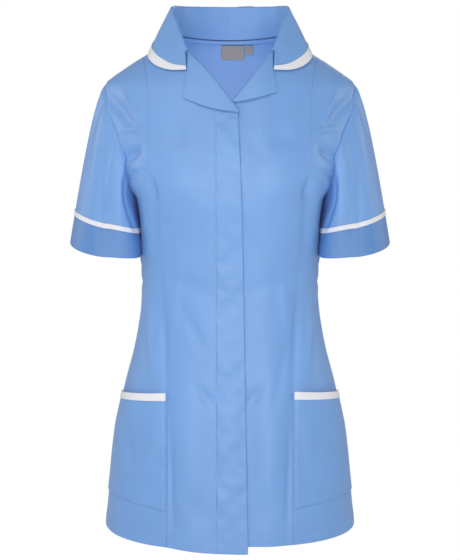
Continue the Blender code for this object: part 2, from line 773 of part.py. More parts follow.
def collar_pieces():
    half = [SHOULDER_STATION * k / BACK_HALF for k in range(1, BACK_HALF + 1)]
    half += [SHOULDER_STATION * (1 + k / FRONT_STATION_STEPS) for k in range(1, FRONT_STATION_STEPS + 1)]
    stations = [-k for k in reversed(half)] + [0.0] + half
    last = len(STAND_SHARES) + len(ROLL_TURNS) + len(FALL_SHARES) + 3
    shares = [j / last for j in range(last + 1)]
    collar_at = collar_place(stations, shares)
    wall_from("collar", "tunic_cloth", collar_at, len(stations), len(shares), 0.0, COLLAR_CLOTH)

    def band_place(i, j, out):
        fall = np.linalg.norm(collar_at(i, last, 0.0) - collar_at(i, last - 1, 0.0))
        return on_grid(collar_at, i, last - (1 - j) * COLLAR_BAND / fall, out)

    wall_from("collar_band", "white_band", band_place, len(stations), 2, LAID_ON + TAPE, TAPE)


# Lapels


def lapel_point(data, share, across, out, base_sink):
    """A point of a lapel: share runs down its roll line, and across from the front panel's edge (0) over
    the fold to the lapel's outer edge (1)."""
    roll, side = data["roll"], 1 if data["notch"][0] > 0 else -1
    line_share = share * data["roll_end"]
    start = roll_point(roll, line_share)
    into = roll_side(roll, line_share)
    notch, tip = np.array(data["notch"]) * MM, np.array(data["point"]) * MM
    notch[0] -= side * NOTCH_GAP
    outer = mix(notch, tip, share)
    half = CLOTH / 2
    if across <= LAPEL_FOLD_SHARE:
        turn = math.radians(mix(-90, 90, across / LAPEL_FOLD_SHARE))
        reach = LAPEL_FOLD * (1 - math.cos(turn))
        lift = LAPEL_FOLD * math.sin(turn) + LAPEL_FOLD - half
        direction_in, direction_up = math.cos(turn), -math.sin(turn)
        reach += out * -direction_in
        lift += out * -direction_up
        flat = start + into * reach
    else:
        part = (across - LAPEL_FOLD_SHARE) / (1 - LAPEL_FOLD_SHARE)
        from_fold = start + into * LAPEL_FOLD
        flat = mix(from_fold, outer, part)
        sag = data["lower_sag"] * MM * math.sin(math.pi * part) * share**3
        flat = flat - np.array((0.0, sag))
        lift = mix(2 * LAPEL_FOLD - half, LAPEL_REST + half, smooth_step(part)) + out
        lift += LAPEL_CROWN * math.sin(math.pi * part) * share
    return front_skin(flat[0], flat[1], lift - base_sink(flat[0], flat[1]))


def lapel(name, data, base_sink):
    def place(i, j, out):
        share = mix(LAPEL_START, 1.0, i / (LAPEL_ROWS - 1))
        return lapel_point(data, share, LAPEL_ACROSS[j], out, base_sink)

    return wall_from(name, "tunic_cloth", place, LAPEL_ROWS, len(LAPEL_ACROSS), CLOTH / 2, CLOTH)


# Neck tape and labels, inside the back neck


def neck_tape():
    rows = (BACK_ROWS, BACK_ROWS - NECK_TAPE_ROWS)

    def place(i, j, out):
        return on_grid(back_place, rows[i], 1 + j, out)

    return wall_from("neck_tape", "tunic_cloth", place, 2, 2 * BACK_HALF - 1, -CLOTH - TAPE_GAP, TAPE)


def label(name, at):
    def place(i, j, out):
        across = mix(at["left"], at["right"], j / (LABEL_COLUMNS - 1)) * MM
        height = mix(at["top"], at["bottom"], i / (LABEL_ROWS - 1)) * MM
        return skin(back_angle(across, height), height, out)

    return wall_from(name, "label_tape", place, LABEL_ROWS, LABEL_COLUMNS, -CLOTH - LABEL_GAP, LABEL_CLOTH)


def build():
    for old in list(bpy.data.objects):
        bpy.data.objects.remove(old)

    def no_sink(across, height):
        return 0.0

    front_panel("front_right", -1, ROLL_RIGHT, front_edge, overlap_drop, no_sink)
    front_panel("front_left", 1, ROLL_LEFT, lambda height: UNDERLAP_EDGE, lambda share: 0.0, under_sink)
    wall_from("back", "tunic_cloth", back_place, BACK_ROWS + 1, 2 * BACK_HALF + 1)
    for side, side_name in ((-1, "right"), (1, "left")):
        wall_from("side_front_" + side_name, "tunic_cloth", side_front_place(side), BODY_ROWS + 1,
                  SIDE_COLUMNS)
        sleeve_pieces(side_name, side)
        pocket("pocket_" + side_name, side)
        pocket_band("pocket_band_" + side_name, side)
    collar_pieces()
    lapel("lapel_right", LAPELS["right"], no_sink)
    lapel("lapel_left", LAPELS["left"], under_sink)
    neck_tape()
    for name, at in LABELS.items():
        label(name, at)


build()
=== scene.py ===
"""The looks of a short-sleeved work tunic, filled out as worn: fine cloth pieces on the forms of its solids,
with creases, seams, hems and topstitching, a woven blue cloth and white bands.

Right and left are the wearer's. The front faces -Y. The tables of the garment's form are in millimetres, and
other lengths in metres.
"""

import math

import bmesh
import bpy
import numpy as np
from mathutils import Matrix, Vector


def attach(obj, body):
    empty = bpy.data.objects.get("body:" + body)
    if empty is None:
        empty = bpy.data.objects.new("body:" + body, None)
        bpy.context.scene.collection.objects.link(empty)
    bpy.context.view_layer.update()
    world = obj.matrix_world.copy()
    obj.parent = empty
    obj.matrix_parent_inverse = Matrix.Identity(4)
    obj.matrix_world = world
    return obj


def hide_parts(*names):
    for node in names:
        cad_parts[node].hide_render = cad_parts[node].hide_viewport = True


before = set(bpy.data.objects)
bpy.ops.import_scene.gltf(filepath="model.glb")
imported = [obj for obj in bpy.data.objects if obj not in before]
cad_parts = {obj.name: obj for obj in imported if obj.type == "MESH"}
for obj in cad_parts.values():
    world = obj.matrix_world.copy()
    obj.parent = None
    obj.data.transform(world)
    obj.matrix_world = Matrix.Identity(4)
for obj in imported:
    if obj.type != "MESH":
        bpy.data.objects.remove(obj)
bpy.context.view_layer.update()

MM = 0.001

# Cloth, as thick as it looks
CLOTH = 1.0 * MM
COLLAR_CLOTH = 1.3 * MM
CUFF_CLOTH = 1.8 * MM
TAPE = 0.7 * MM
LAID_ON = 0.35 * MM

# Heights that the pieces share
HEM = -711 * MM
UNDERARM = -228.5 * MM
SHOULDER_POINT = -69.5 * MM
PRINCESS_TOP = -31.5 * MM
NECK_SIDE = -0.5 * MM
NECK_BACK = -9.5 * MM

# Steps up each body panel, as in the solids
SKIRT_ROWS = 14
CHEST_ROWS = 12
BODY_ROWS = SKIRT_ROWS + CHEST_ROWS
SHOULDER_ROWS = 8
BACK_ROWS = BODY_ROWS + SHOULDER_ROWS
FRONT_COLUMNS = 14
NECK_COLUMNS = 4
SHOULDER_COLUMNS = 2
SIDE_COLUMNS = 8
BACK_HALF = 12

# The front laps right over left
OVERLAP_DROP = 10 * MM
OVERLAP_SEAM_DROP = 3.5 * MM
UNDERLAP_EDGE = -20 * MM
UNDERLAP_BLEND = 34 * MM
UNDERLAP_SINK = 3.2 * MM
PLACKET_STITCH = -19.5 * MM
FLAP_TOP = -110 * MM
FLAP_CLOTH = 1.1 * MM
# The flap's edge: its distance from the centre and its height, at the top and at the hem
FLAP_EDGE = {"top": (14.7 * MM, -104.4 * MM), "low": (25.4 * MM, -718 * MM)}

# Armholes
ARMHOLE_FRONT = math.radians(25.3)
ARMHOLE_BACK = math.radians(22.5)
ARMHOLE_POWER = 1.25

# Pockets
POCKET_BOTTOM = -660 * MM
POCKET_MOUTH_FRONT = -496 * MM
POCKET_MOUTH_SIDE = -514 * MM
POCKET_GAPE = 5 * MM
POCKET_GAPE_DEPTH = 75 * MM
POCKET_BAND = 10.5 * MM
POCKET_ARCH = 6 * MM
POCKET_INSET = 0.09

# The sleeve as the right one is drawn: the oval of its hem and the line of its band in millimetres, and how
# far it keeps the direction in which it leaves the armhole and the one in which it reaches the hem
SLEEVE_HEM = {"across": -180.8, "behind": 3, "height": -304, "half_width": 50.2, "half_depth": 57,
              "outer_rise": 7.5, "front_drop": 7, "front_tuck": 14}
SLEEVE_BAND_LINE = {"height": -264.5, "outer_rise": 12.5, "front_drop": 2}
SLEEVE_STEPS = 180
SLEEVE_LEAVE = 24 * MM
SLEEVE_ARRIVE = 66 * MM

# Collar and lapels
ROLL_RADIUS = 2.6 * MM
COLLAR_FOOT = 0.8 * MM
COLLAR_BULGE = 1.2 * MM
LAPEL_FOLD = 2.1 * MM
LAPEL_REST = 1.6 * MM
LAPEL_BELLY = 1.6 * MM
LAPEL_GAP = 0.5 * MM
COLLAR_BAND = 8.5 * MM
SHOULDER_STATION = 4
LAPEL_START = 0.03
LAPEL_FOLD_SHARE = 0.3

# The neck's front quarter, in millimetres, from the collar's end towards the shoulder
NECK_FRONT = {"across": (60.5, 66, 73), "height": (-24.5, -19, -11.5)}

# Inside the back neck: the tape over its seam, and the labels below, with their places in millimetres
NECK_TAPE_ROWS = 0.68
NECK_TAPE_ENDS = 0.6
NECK_TAPE_GAP = 0.5 * MM
LABEL_GAP = 1.0 * MM
LABEL_CLOTH = 0.8 * MM
LABELS = {
    "label": {"left": -13, "right": 21.5, "top": -15.3, "bottom": -36.5},
    "size_tab": {"left": 23, "right": 35, "top": -15.3, "bottom": -28},
}

# Points that the cloth faces away from
BODY_CENTRE = (0, 0, -0.35)
NECK_CENTRE = (0, 0, -0.02)

# Dyes. The cuffs' blue is darker: painted shade, for cuffs that face down with their inner side in shade
BLUE_DYE = (0.152, 0.342, 0.71)
SHADED_CUFF_DYE = (0.088, 0.246, 0.575)
BLUE_THREAD_DYE = (0.29, 0.49, 0.85)
WHITE_DYE = (0.79, 0.80, 0.84)
WHITE_THREAD_DYE = (0.86, 0.86, 0.87)
LABEL_DYE = (0.28, 0.26, 0.24)

# Weave: the pitch of its threads, thick and thin places along them, and its shine
THREAD_PITCH = 0.6 * MM
SLUB_LENGTH = 9 * MM
SLUB_WIDTH = 0.9 * MM
THREAD_HEIGHT = 0.05 * MM
CRUMPLE_HEIGHT = 1.2 * MM
STITCH_GROOVE = 0.25 * MM
GROOVE_REACH = 1.3 * MM
BASE_TONE = 0.84
# The stitch tone is painted shade: the colour darker along the rows of stitches
TONES = {"slub": 0.08, "dye": 0.12, "threads": 0.02, "stitch_groove_and_shade": 0.06}
SPECULAR = 0.9
SHEEN_ROUGHNESS = 0.5

# Studio
FLOOR = -1.45
FLOOR_RADIUS = 2.0
FLOOR_COLOUR = (0.93, 0.93, 0.93, 1)
FLOOR_GLOW = 0.25
WALL_LIGHT = 0.42
CAMERA = {"place": (0, -2.3, 0), "aimed_at": (0, 0, -0.352), "lens": 103.2, "sensor": 36}
LAMPS = (
    # name, place, what it is aimed at, power in watts, size
    ("front_lamp", (0, -1.0, -0.28), (0, 0, -0.28), 4.4, 0.7),
    ("top_lamp", (-0.5, -1.5, 1.2), (0, 0, -0.2), 8.5, 0.6),
    ("left_lamp", (-1.6, 0.1, 0.2), (0, 0, -0.35), 6, 0.8),
    ("right_lamp", (1.6, 0.1, 0.15), (0, 0, -0.35), 5, 0.8),
    ("back_lamp", (0.25, 2.4, 0.1), (0, 0, -0.35), 15, 1.0),
    ("neck_lamp", (0, -0.055, -0.15), (0, 0.08, -0.02), 0.13, 0.08),
)

# Sewing
HEM_DEPTH = 18 * MM
STITCH_PITCH = 3.0 * MM
STITCH_LENGTH = 2.3 * MM
STITCH_RADIUS = 0.3 * MM
STITCH_START = 0.15
EDGE_STITCH = 2 * MM
BAND_STITCH = 1.1 * MM
SLEEVE_BAND = 7 * MM
# How far the sleeve reaches under the armhole's edge, as a share of its length
UNDER_ARMHOLE = 0.012
# How much narrower the rounding is at an edge that meets another panel
SEAM_TIGHT = 0.4

# What the sewing does to the cloth's face: depths and heights, and how wide they are
STITCH_DIP = 0.3 * MM
STITCH_DIP_WIDTH = 1.8 * MM
HEM_STEP = 0.3 * MM
HEM_PUCKER = 0.45 * MM
SEAM_GROOVE = 0.15 * MM
SEAM_GROOVE_WIDTH = 1.5 * MM
ARMHOLE_RIM = 0.75 * MM
SLEEVE_RIM = 0.5 * MM
POCKET_RIM = 0.5 * MM

# The filled-out form of the body: half width, depths and the fullness of its corners at each height
FORM = {
    "height": (8, 0, -10, -20, -30, -40, -50, -58, -66, -74, -87, -105, -125, -143, -159, -180, -198.5,
               -213, -223, -228.5, -240, -260, -300, -345, -385, -420, -455, -491, -527, -563, -600, -636,
               -672, -710, -730),
    "half_width": (68, 79, 92, 105.5, 119.5, 136, 151, 163, 173, 178.5, 182, 184, 178, 168, 160.5, 154,
                   150, 143.5, 137.5, 134, 131.5, 129.5, 128, 128, 128.5, 133.3, 140.5, 150.3, 159, 167, 172,
                   175.6, 179.3, 183.2, 184),
    "front_depth": (44, 50, 57, 64, 69.5, 74.5, 79, 82.5, 86, 89, 93, 99, 106, 111, 115, 118, 119.5, 119,
                    118, 117.5, 115.5, 111, 103.5, 98, 97.5, 100, 104, 109, 114, 118.5, 122.5, 126.5, 130.5,
                    134, 135.5),
    "back_depth": (58, 64, 70, 76, 81, 85, 89, 91.5, 94, 96, 98.5, 101, 102.5, 102.5, 101, 98.5, 96, 93.5,
                   92, 91, 88.5, 85, 78, 72.5, 72.5, 77.5, 85, 93, 99.5, 105, 109.5, 113, 116, 119, 120),
    "front_power": (1.85, 1.85, 1.85, 1.85, 1.85, 1.85, 1.86, 1.87, 1.88, 1.9, 1.95, 2.0, 2.1, 2.3, 2.5,
                    2.65, 2.7, 2.7, 2.65, 2.6, 2.55, 2.45, 2.35, 2.3, 2.3, 2.3, 2.3, 2.3, 2.3, 2.3, 2.3,
                    2.3, 2.3, 2.3, 2.3),
    "back_power": (2.0, 2.0, 2.0, 2.0, 2.0, 2.0, 2.0, 2.0, 2.0, 2.02, 2.05, 2.1, 2.2, 2.3, 2.35, 2.4, 2.4,
                   2.4, 2.4, 2.4, 2.35, 2.3, 2.25, 2.2, 2.2, 2.2, 2.25, 2.3, 2.3, 2.3, 2.3, 2.3, 2.3, 2.3,
                   2.3),
}

# The princess seam: its distance from the centre front at each height
PRINCESS = {
    "height": (-31.5, -62, -89, -130, -170, -204, -232, -268, -314, -370, -440, -497, -579, -664, -720),
    "across": (121.8, 115, 113, 112.4, 110.7, 106.3, 101, 98.3, 97, 95.5, 91, 88.6, 88.2, 88.4, 90),
}

ROLL_RIGHT = {"across": (-58.2, -36.4, -21.6, -5.0, 13.2), "height": (-23.5, -44.3, -60.2, -81.6, -104.4)}
ROLL_LEFT = {"across": (58.2, 42, 26.1, 10, -2.5), "height": (-23.5, -42.8, -62.1, -81.5, -97.5)}

LAPELS = {
    "right": {"side": -1, "roll": ROLL_RIGHT, "roll_end": 1.0, "notch": (-58.9, -49.4),
              "point": (-64.5, -86.4), "lower_sag": 4.0},
    "left": {"side": 1, "roll": ROLL_LEFT, "roll_end": 0.88, "notch": (58.9, -49.4),
             "point": (64.2, -78.5), "lower_sag": 2.0},
}

# The left half of the collar from the centre back to its front end
COLLAR = {
    "roll_x": (0, 37, 66, 78.5, 81.3, 79.5, 73, 64.5, 58.2),
    "roll_y": (81, 76, 56, 27, 0, -13, -31, -48, -60.5),
    "roll_z": (39, 39.5, 40, 40, 38, 30.5, 15.5, -6.5, -21.5),
    "edge_turn": (90, 68, 45, 22, 0, -28, -45, -55.4, -65.1),
    "edge_z": (-33, -33, -31, -26.5, -22.5, -35.5, -45.5, -50, -49.6),
    "edge_lift": (7, 7, 6, 4.5, 3.2, 3, 3, 3, 3.3),
}

# Soft folds and creases. On the body, across is the distance from the centre and height the place's height.
# long is half the length along the fold, turn its lean from upright in degrees, bend how far its ends curve
# off, wide half its width and rise how far it stands out. side 0 is both sides, 1 the left and -1 the right.
FOLD = ("across", "height", "long", "turn", "bend", "wide", "rise", "side")


def folds(*rows):
    return [dict(zip(FOLD, row)) for row in rows]


FRONT_FOLDS = folds(
    # the broad forms of the bust, the skirt and the waist
    (74, -192, 44, 0, 0, 44, 5.0, 0),
    (58, -600, 105, 4, 0, 17, 3.0, 0),
    (24, -560, 90, -3, 0, 14, -2.6, 0),
    (132, -640, 60, 12, 0, 18, 2.0, 0),
    (60, -345, 50, 70, 0, 12, -1.6, 0),
    # drag lines round the armhole
    (155, -103, 30, 43, 2, 9, -6.2, 0),
    (137, -106, 26, 25, 0, 4.2, 3.2, 0),
    (150, -149, 14, 8, 2, 4, 3.1, 0),
    (131, -130, 15, 78, 3, 4.2, 3.5, 0),
    (133, -163, 13, -48, 0, 6, -7.5, 0),
    (131, -182, 13, 88, -3, 4, 2.8, 0),
    (140, -197, 13, -60, 0, 5, -2.4, 0),
    # the princess seam: a pinch under the bust, and a valley at the waist with a ridge beside it
    (105, -213, 17, 4, 0, 6, -7.5, 0),
    (119, -246, 52, 2, 0, 7, 2.8, 0),
    (104, -268, 34, 0, 0, 5, -2.1, 0),
    (93, -425, 72, 3, 0, 6.5, -4.8, 0),
    (111, -440, 44, 4, 0, 6.5, 3.1, 0),
    (78, -372, 40, -6, 0, 7, 2.1, 0),
    # dents of the chest, the hip and the skirt
    (70, -139, 16, 20, 0, 15, -2.7, 0),
    (38, -157, 15, -30, 0, 11, -2.0, 1),
    (36, -500, 17, 42, 0, 8, -3.5, 0),
    (82, -622, 74, 1, 0, 5.5, -3.1, 0),
    (47, -657, 24, 8, 0, 15, -3.5, 0),
    (108, -560, 50, -8, 0, 10, 2.7, 0),
    (142, -590, 40, 10, 0, 8, -2.8, -1),
    (72, -470, 42, 12, 0, 8, -2.1, 1),
    (50, -410, 30, 28, 0, 9, -2.1, -1),
    (44, -298, 26, -38, 0, 9, -2.0, 1),
    # the side fronts turn in below the pockets
    (128, -668, 50, 66, 0, 18, 1.6, 0),
)
BACK_FOLDS = folds(
    # the broad forms of the small of the back and the skirt
    (0, -330, 60, 88, 0, 13, 2.2, 0),
    (62, -300, 40, 70, 0, 11, -2.0, 0),
    (64, -600, 105, 3, 0, 19, 3.2, 0),
    (20, -590, 95, 2, 0, 15, -2.8, 0),
    (140, -130, 26, -20, 0, 9, -2.0, 0),
    # drag lines from the armholes towards the shoulder blades
    (128, -158, 24, -38, 3, 6, -4.8, 1),
    (124, -150, 27, -44, 2, 6, -5.3, -1),
    (134, -176, 20, -60, 2, 4.5, 2.9, 1),
    (136, -112, 26, 24, 0, 6, 3.2, -1),
    (118, -196, 22, -66, 0, 6, -3.4, -1),
    # slack above the waist and small creases in it
    (34, -302, 34, 74, 4, 7, -3.5, 1),
    (28, -356, 40, 96, -4, 7, -3.8, -1),
    (12, -384, 34, 84, 3, 6, 2.9, 0),
    (92, -322, 24, 58, 2, 6, 3.2, 1),
    (88, -350, 26, 64, 2, 6, -3.4, 0),
    (46, -268, 30, 66, 0, 8, 2.4, -1),
    # the shoulder blades and the skirt
    (56, -120, 40, 10, 0, 26, 4.3, 0),
    (104, -560, 74, -5, 0, 11, -3.8, 1),
    (112, -600, 66, -3, 0, 12, -3.5, -1),
    (138, -640, 50, 4, 0, 12, 3.8, 0),
    (44, -655, 40, 2, 0, 9, -2.9, 0),
    (84, -480, 44, 8, 0, 10, -2.7, 0),
)
# On the sides, across is the distance behind the side seam
SIDE_FOLDS = folds(
    (-24, -262, 26, 52, 3, 5, -1.9, 0),
    (16, -280, 30, -48, 3, 5.5, -2.3, 1),
    (10, -300, 26, -56, 3, 5.5, -2.0, -1),
    (-8, -318, 30, 78, 3, 5, 1.7, 0),
    (4, -352, 34, 86, -4, 6, -2.1, 0),
    (-30, -385, 28, 58, 0, 6, -1.4, 1),
    (34, -400, 30, -52, 0, 6, -1.6, 0),
    (-22, -560, 80, 3, 0, 12, -0.7, 0),
    (28, -600, 70, -4, 0, 12, -1.9, 0),
)
# On the sleeves, across is in degrees from the outside of the arm to its front, and height is how far down it
# is, from 0 at the armhole to 100 at the hem
SLEEVE_FOLDS = folds(
    (64, 46, 34, 0, 3, 9, 1.8, 0),
    (84, 52, 34, 3, 0, 8, -2.1, 0),
    (104, 58, 30, -4, 0, 8, 1.6, 0),
    (128, 40, 26, 16, 5, 8, -3.0, 0),
    (146, 52, 24, 10, 4, 9, 1.2, 0),
    (166, 34, 22, 0, 0, 9, -1.0, 0),
    (186, 50, 30, 0, 0, 10, 2.1, 0),
    (36, 30, 20, -12, 0, 8, -1.4, 0),
    (22, 62, 30, 0, 0, 8, -1.3, 1),
    (340, 48, 36, 4, 0, 10, -1.8, -1),
    (318, 44, 34, 0, 0, 9, 1.9, 0),
    (296, 52, 32, -5, 4, 9, -2.4, 0),
    (270, 46, 34, -8, 4, 9, 2.1, 1),
    (262, 40, 32, -10, 4, 9, -2.2, -1),
    (236, 42, 26, -16, 5, 9, -3.0, 0),
    (214, 46, 24, -10, 4, 9, 1.9, 0),
    # the sleeve's inner side rests on the body
    (180, 66, 50, 0, 0, 40, 2.4, 0),
)
# On the collar, across is in tenths of a station from the centre back, and height is how far over it is, from
# 0 at the neck seam to 100 at the edge
COLLAR_FOLDS = folds(
    (37, 17, 12, 30, 0, 4, -2.4, 0),
    (47, 20, 16, 14, 0, 3.5, -2.8, 0),
    (42, 24, 14, 22, 0, 2.6, 1.3, 0),
    (16, 18, 16, 6, 0, 5, -1.2, 0),
    (7, 16, 18, 0, 0, 4, 1.1, 1),
    (26, 20, 14, -14, 0, 4, 1.2, -1),
    (58, 74, 22, 8, 0, 6, -1.4, 0),
    (68, 66, 22, -6, 0, 5, 1.2, 0),
    (30, 74, 24, 10, 0, 6, -1.6, 1),
    (22, 76, 24, -8, 0, 6, -1.4, -1),
    (8, 70, 24, 4, 0, 7, 1.4, 0),
)

# On the front flap, across is the distance to the left of the centre: the drag line under the right lapel
FLAP_FOLDS = folds(
    (-3, -113, 15, 68, 0, 2.6, -0.9, 0),
    (-6, -108, 14, 70, 0, 3.0, 0.6, 0),
)

# The front flap's puckers: how strong they are at each height
PUCKERS = {
    "height": (-112, -135, -165, -200, -235, -280, -320, -370, -410, -450, -490, -535, -580, -620, -660,
               -711),
    "rise": (0.5, 0.8, 0.6, 0.75, 0.35, 0.45, 0.85, 0.8, 0.5, 0.75, 0.85, 0.5, 0.85, 0.9, 0.6, 0.5),
}


# How often a search halves its range
HALVINGS = 24


# Curves and small sums

def through(keys, values, at):
    """A smooth curve through the values, read at every place in at."""
    keys = np.asarray(keys, float)
    values = np.asarray(values, float)
    if keys[0] > keys[-1]:
        keys, values = keys[::-1], values[::-1]
    slope = np.gradient(values)
    slope[1:-1] = (values[2:] - values[:-2]) / (keys[2:] - keys[:-2])
    slope[0] = (values[1] - values[0]) / (keys[1] - keys[0])
    slope[-1] = (values[-1] - values[-2]) / (keys[-1] - keys[-2])
    at = np.clip(at, keys[0], keys[-1])
    low = np.clip(np.searchsorted(keys, at) - 1, 0, len(keys) - 2)
    span = keys[low + 1] - keys[low]
    part = (at - keys[low]) / span
    return ((2 * part**3 - 3 * part**2 + 1) * values[low] + (part**3 - 2 * part**2 + part) * span * slope[low]
            + (3 * part**2 - 2 * part**3) * values[low + 1] + (part**3 - part**2) * span * slope[low + 1])


def form_at(column, height):
    return through(FORM["height"], FORM[column], height / MM)


def signed_power(value, exponent):
    return np.sign(value) * np.abs(value) ** exponent


def smooth_step(value):
    value = np.clip(value, 0.0, 1.0)
    return value * value * (3 - 2 * value)


def mix(start, end, share):
    return start + (end - start) * share


def unit(vectors):
    return vectors / np.maximum(np.linalg.norm(vectors, axis=-1, keepdims=True), 1e-12)


def stack(x, y, z):
    return np.stack(np.broadcast_arrays(x, y, z), axis=-1).astype(float)


def ripple(at, seed):
    """An uneven wave about 1 high, for what gathers along a seam. at is a distance along it."""
    place = at / MM + 37.0 * seed
    waves = np.sin(place / 1.9 + seed) + np.sin(place / 3.1 + 2.3 * seed) + np.sin(place / 5.3 + 0.7 * seed)
    return waves / 2.2


# The form of the worn cloth

def form_point(angle, height):
    """A point of the form. The angle runs from the left side seam round the front."""
    half_width = form_at("half_width", height) * MM
    in_front = np.sin(angle) >= 0
    depth = np.where(in_front, form_at("front_depth", height), form_at("back_depth", height)) * MM
    fullness = np.where(in_front, form_at("front_power", height), form_at("back_power", height))
    return stack(half_width * signed_power(np.cos(angle), 2 / fullness),
                 -depth * signed_power(np.sin(angle), 2 / fullness), height)


def form_normal(angle, height):
    angle_step, height_step = math.radians(0.6), 0.6 * MM
    round_body = form_point(angle + angle_step, height) - form_point(angle - angle_step, height)
    up_body = form_point(angle, height + height_step) - form_point(angle, height - height_step)
    return unit(np.cross(up_body, round_body))


def raised_by(rows, across, height, side=0):
    """How far the folds of a table raise the cloth at each place. Where side is given, the place is on that
    side of the garment, and otherwise across is negative on its right."""
    raised = np.zeros(np.broadcast(across, height).shape)
    for row in rows:
        turn = math.radians(row["turn"])
        sides = (row["side"],) if row["side"] else (1, -1)
        if side:
            sides = (1,) if row["side"] in (0, side) else ()
        elif row["across"] == 0:
            sides = (1,)
        for mirror in sides:
            dx = mirror * across - row["across"]
            dz = height - row["height"]
            along = (dz * math.cos(turn) + dx * math.sin(turn)) / row["long"]
            over = (dx * math.cos(turn) - dz * math.sin(turn) - row["bend"] * along**2) / row["wide"]
            raised += row["rise"] * MM * np.exp(-along**2 - over**2)
    return raised


def body_folds(angle, point):
    """How far the body's folds raise the cloth at each point of the form."""
    across, behind, height = (point[..., axis] / MM for axis in range(3))
    in_front = np.sin(angle) > 0
    raised = np.where(in_front, raised_by(FRONT_FOLDS, across, height), raised_by(BACK_FOLDS, across, height))
    raised = raised * smooth_step(np.abs(behind) / 25)
    at_side = smooth_step((np.abs(across) / form_at("half_width", height * MM) - 0.72) / 0.2)
    left, right = (raised_by(SIDE_FOLDS, behind, height, side) for side in (1, -1))
    return raised + at_side * np.where(across > 0, left, right)


def skin(angle, height, out=0.0):
    """Points of the cloth's outer face, or that far outside it."""
    angle, height = np.broadcast_arrays(np.asarray(angle, float), np.asarray(height, float))
    point = form_point(angle, height)
    return point + form_normal(angle, height) * (out + body_folds(angle, point))[..., None]


def front_angle(across, height):
    share = np.minimum(np.abs(across) / (form_at("half_width", height) * MM), 1.0)
    angle = np.arccos(share ** (form_at("front_power", height) / 2))
    return np.where(across >= 0, angle, math.pi - angle)


def back_angle(across, height):
    share = np.minimum(np.abs(across) / (form_at("half_width", height) * MM), 1.0)
    angle = np.arccos(share ** (form_at("back_power", height) / 2))
    return np.where(across >= 0, -angle, angle - math.pi)


def front_skin(across, height, out=0.0):
    return skin(front_angle(across, height), height, out)


def armhole(share, front):
    height = mix(SHOULDER_POINT, UNDERARM, (1 - np.cos(math.pi * share)) / 2)
    reach = ARMHOLE_FRONT if front else ARMHOLE_BACK
    return reach * np.maximum(np.sin(math.pi * share), 0.0) ** ARMHOLE_POWER, height


def side_edge(row, front):
    """(angle from the side, height) of the side seam and, above the underarm, of the armhole."""
    angle, height = armhole(np.clip(1 - (row - SKIRT_ROWS) / CHEST_ROWS, 0, 1), front)
    below = row <= SKIRT_ROWS
    return np.where(below, 0.0, angle), np.where(below, mix(HEM, UNDERARM, row / SKIRT_ROWS), height)


def rise_to(top, row, bottom=HEM):
    chest = np.sin(math.pi / 2 * np.clip((row - SKIRT_ROWS) / CHEST_ROWS, 0, 1))
    return np.where(row <= SKIRT_ROWS, mix(bottom, UNDERARM, row / SKIRT_ROWS), mix(UNDERARM, top, chest))


def princess(height):
    return through(PRINCESS["height"], PRINCESS["across"], height / MM) * MM


def shoulder_height(across):
    """The height of the shoulder seam at a distance from the centre."""
    heights = np.linspace(SHOULDER_POINT - 6 * MM, 8 * MM, 600)
    return np.interp(-np.abs(across), -form_at("half_width", heights) * MM, heights)


# Panels of the body, as fine grids of points

def front_edge(height):
    (top_across, top_height), (low_across, low_height) = FLAP_EDGE["top"], FLAP_EDGE["low"]
    return mix(top_across, low_across, (height - top_height) / (low_height - top_height))


def roll_point(roll, share):
    at = share * (len(roll["across"]) - 1)
    keys = range(len(roll["across"]))
    return np.stack([through(keys, roll["across"], at), through(keys, roll["height"], at)], axis=-1) * MM


def roll_side(roll, share):
    """The direction in the front view from a roll line into its panel."""
    along = roll_point(roll, np.minimum(share + 0.02, 1.0)) - roll_point(roll, np.maximum(share - 0.02, 0.0))
    along = unit(along)
    into = np.stack([along[..., 1], -along[..., 0]], axis=-1)
    return np.where(into[..., 1:] < 0, into, -into)


def neck_front(side, share):
    keys = [0.0, 1 / 3, 2 / 3, 1.0]
    neck_width = float(form_at("half_width", np.array(NECK_SIDE)))
    across = through(keys, (*NECK_FRONT["across"], neck_width), share) * MM
    height = through(keys, (*NECK_FRONT["height"], NECK_SIDE / MM), share) * MM
    return np.stack([side * across, height], axis=-1)


def front_top(side, roll, column):
    """(across, height) where each column of a front panel ends."""
    roll_columns = FRONT_COLUMNS - 1 - SHOULDER_COLUMNS - NECK_COLUMNS
    share = np.clip(1 - column / roll_columns, 0, 1)
    on_roll = roll_point(roll, share) + roll_side(roll, share) * (LAPEL_FOLD + LAPEL_GAP)
    on_neck = neck_front(side, np.clip((column - roll_columns) / NECK_COLUMNS, 0, 1))
    share = np.clip((column - roll_columns - NECK_COLUMNS) / SHOULDER_COLUMNS, 0, 1)
    across = mix(form_at("half_width", np.array(NECK_SIDE)) * MM, princess(np.array(PRINCESS_TOP)), share)
    on_shoulder = np.stack([side * across, shoulder_height(across)], axis=-1)
    top = np.where((column <= roll_columns)[..., None], on_roll, on_neck)
    return np.where((column > roll_columns + NECK_COLUMNS)[..., None], on_shoulder, top)


def front_place(side, roll, edge, hem_drop, sink):
    def place(row, column):
        row, column = np.broadcast_arrays(row, column)
        top = front_top(side, roll, column)
        share = column / (FRONT_COLUMNS - 1)
        height = rise_to(top[..., 1], row, HEM - hem_drop(share))
        start, end = edge(top[..., 1]), side * princess(np.minimum(top[..., 1], PRINCESS_TOP))
        top_share = (top[..., 0] - start) / (end - start)
        blend = smooth_step((row - SKIRT_ROWS * 0.6) / (BODY_ROWS - SKIRT_ROWS * 0.6))
        part = np.where(column == FRONT_COLUMNS - 1, 1.0, mix(share, top_share, blend))
        across = mix(edge(height), side * princess(height), part)
        return front_skin(across, height, -sink(across, height))

    return place


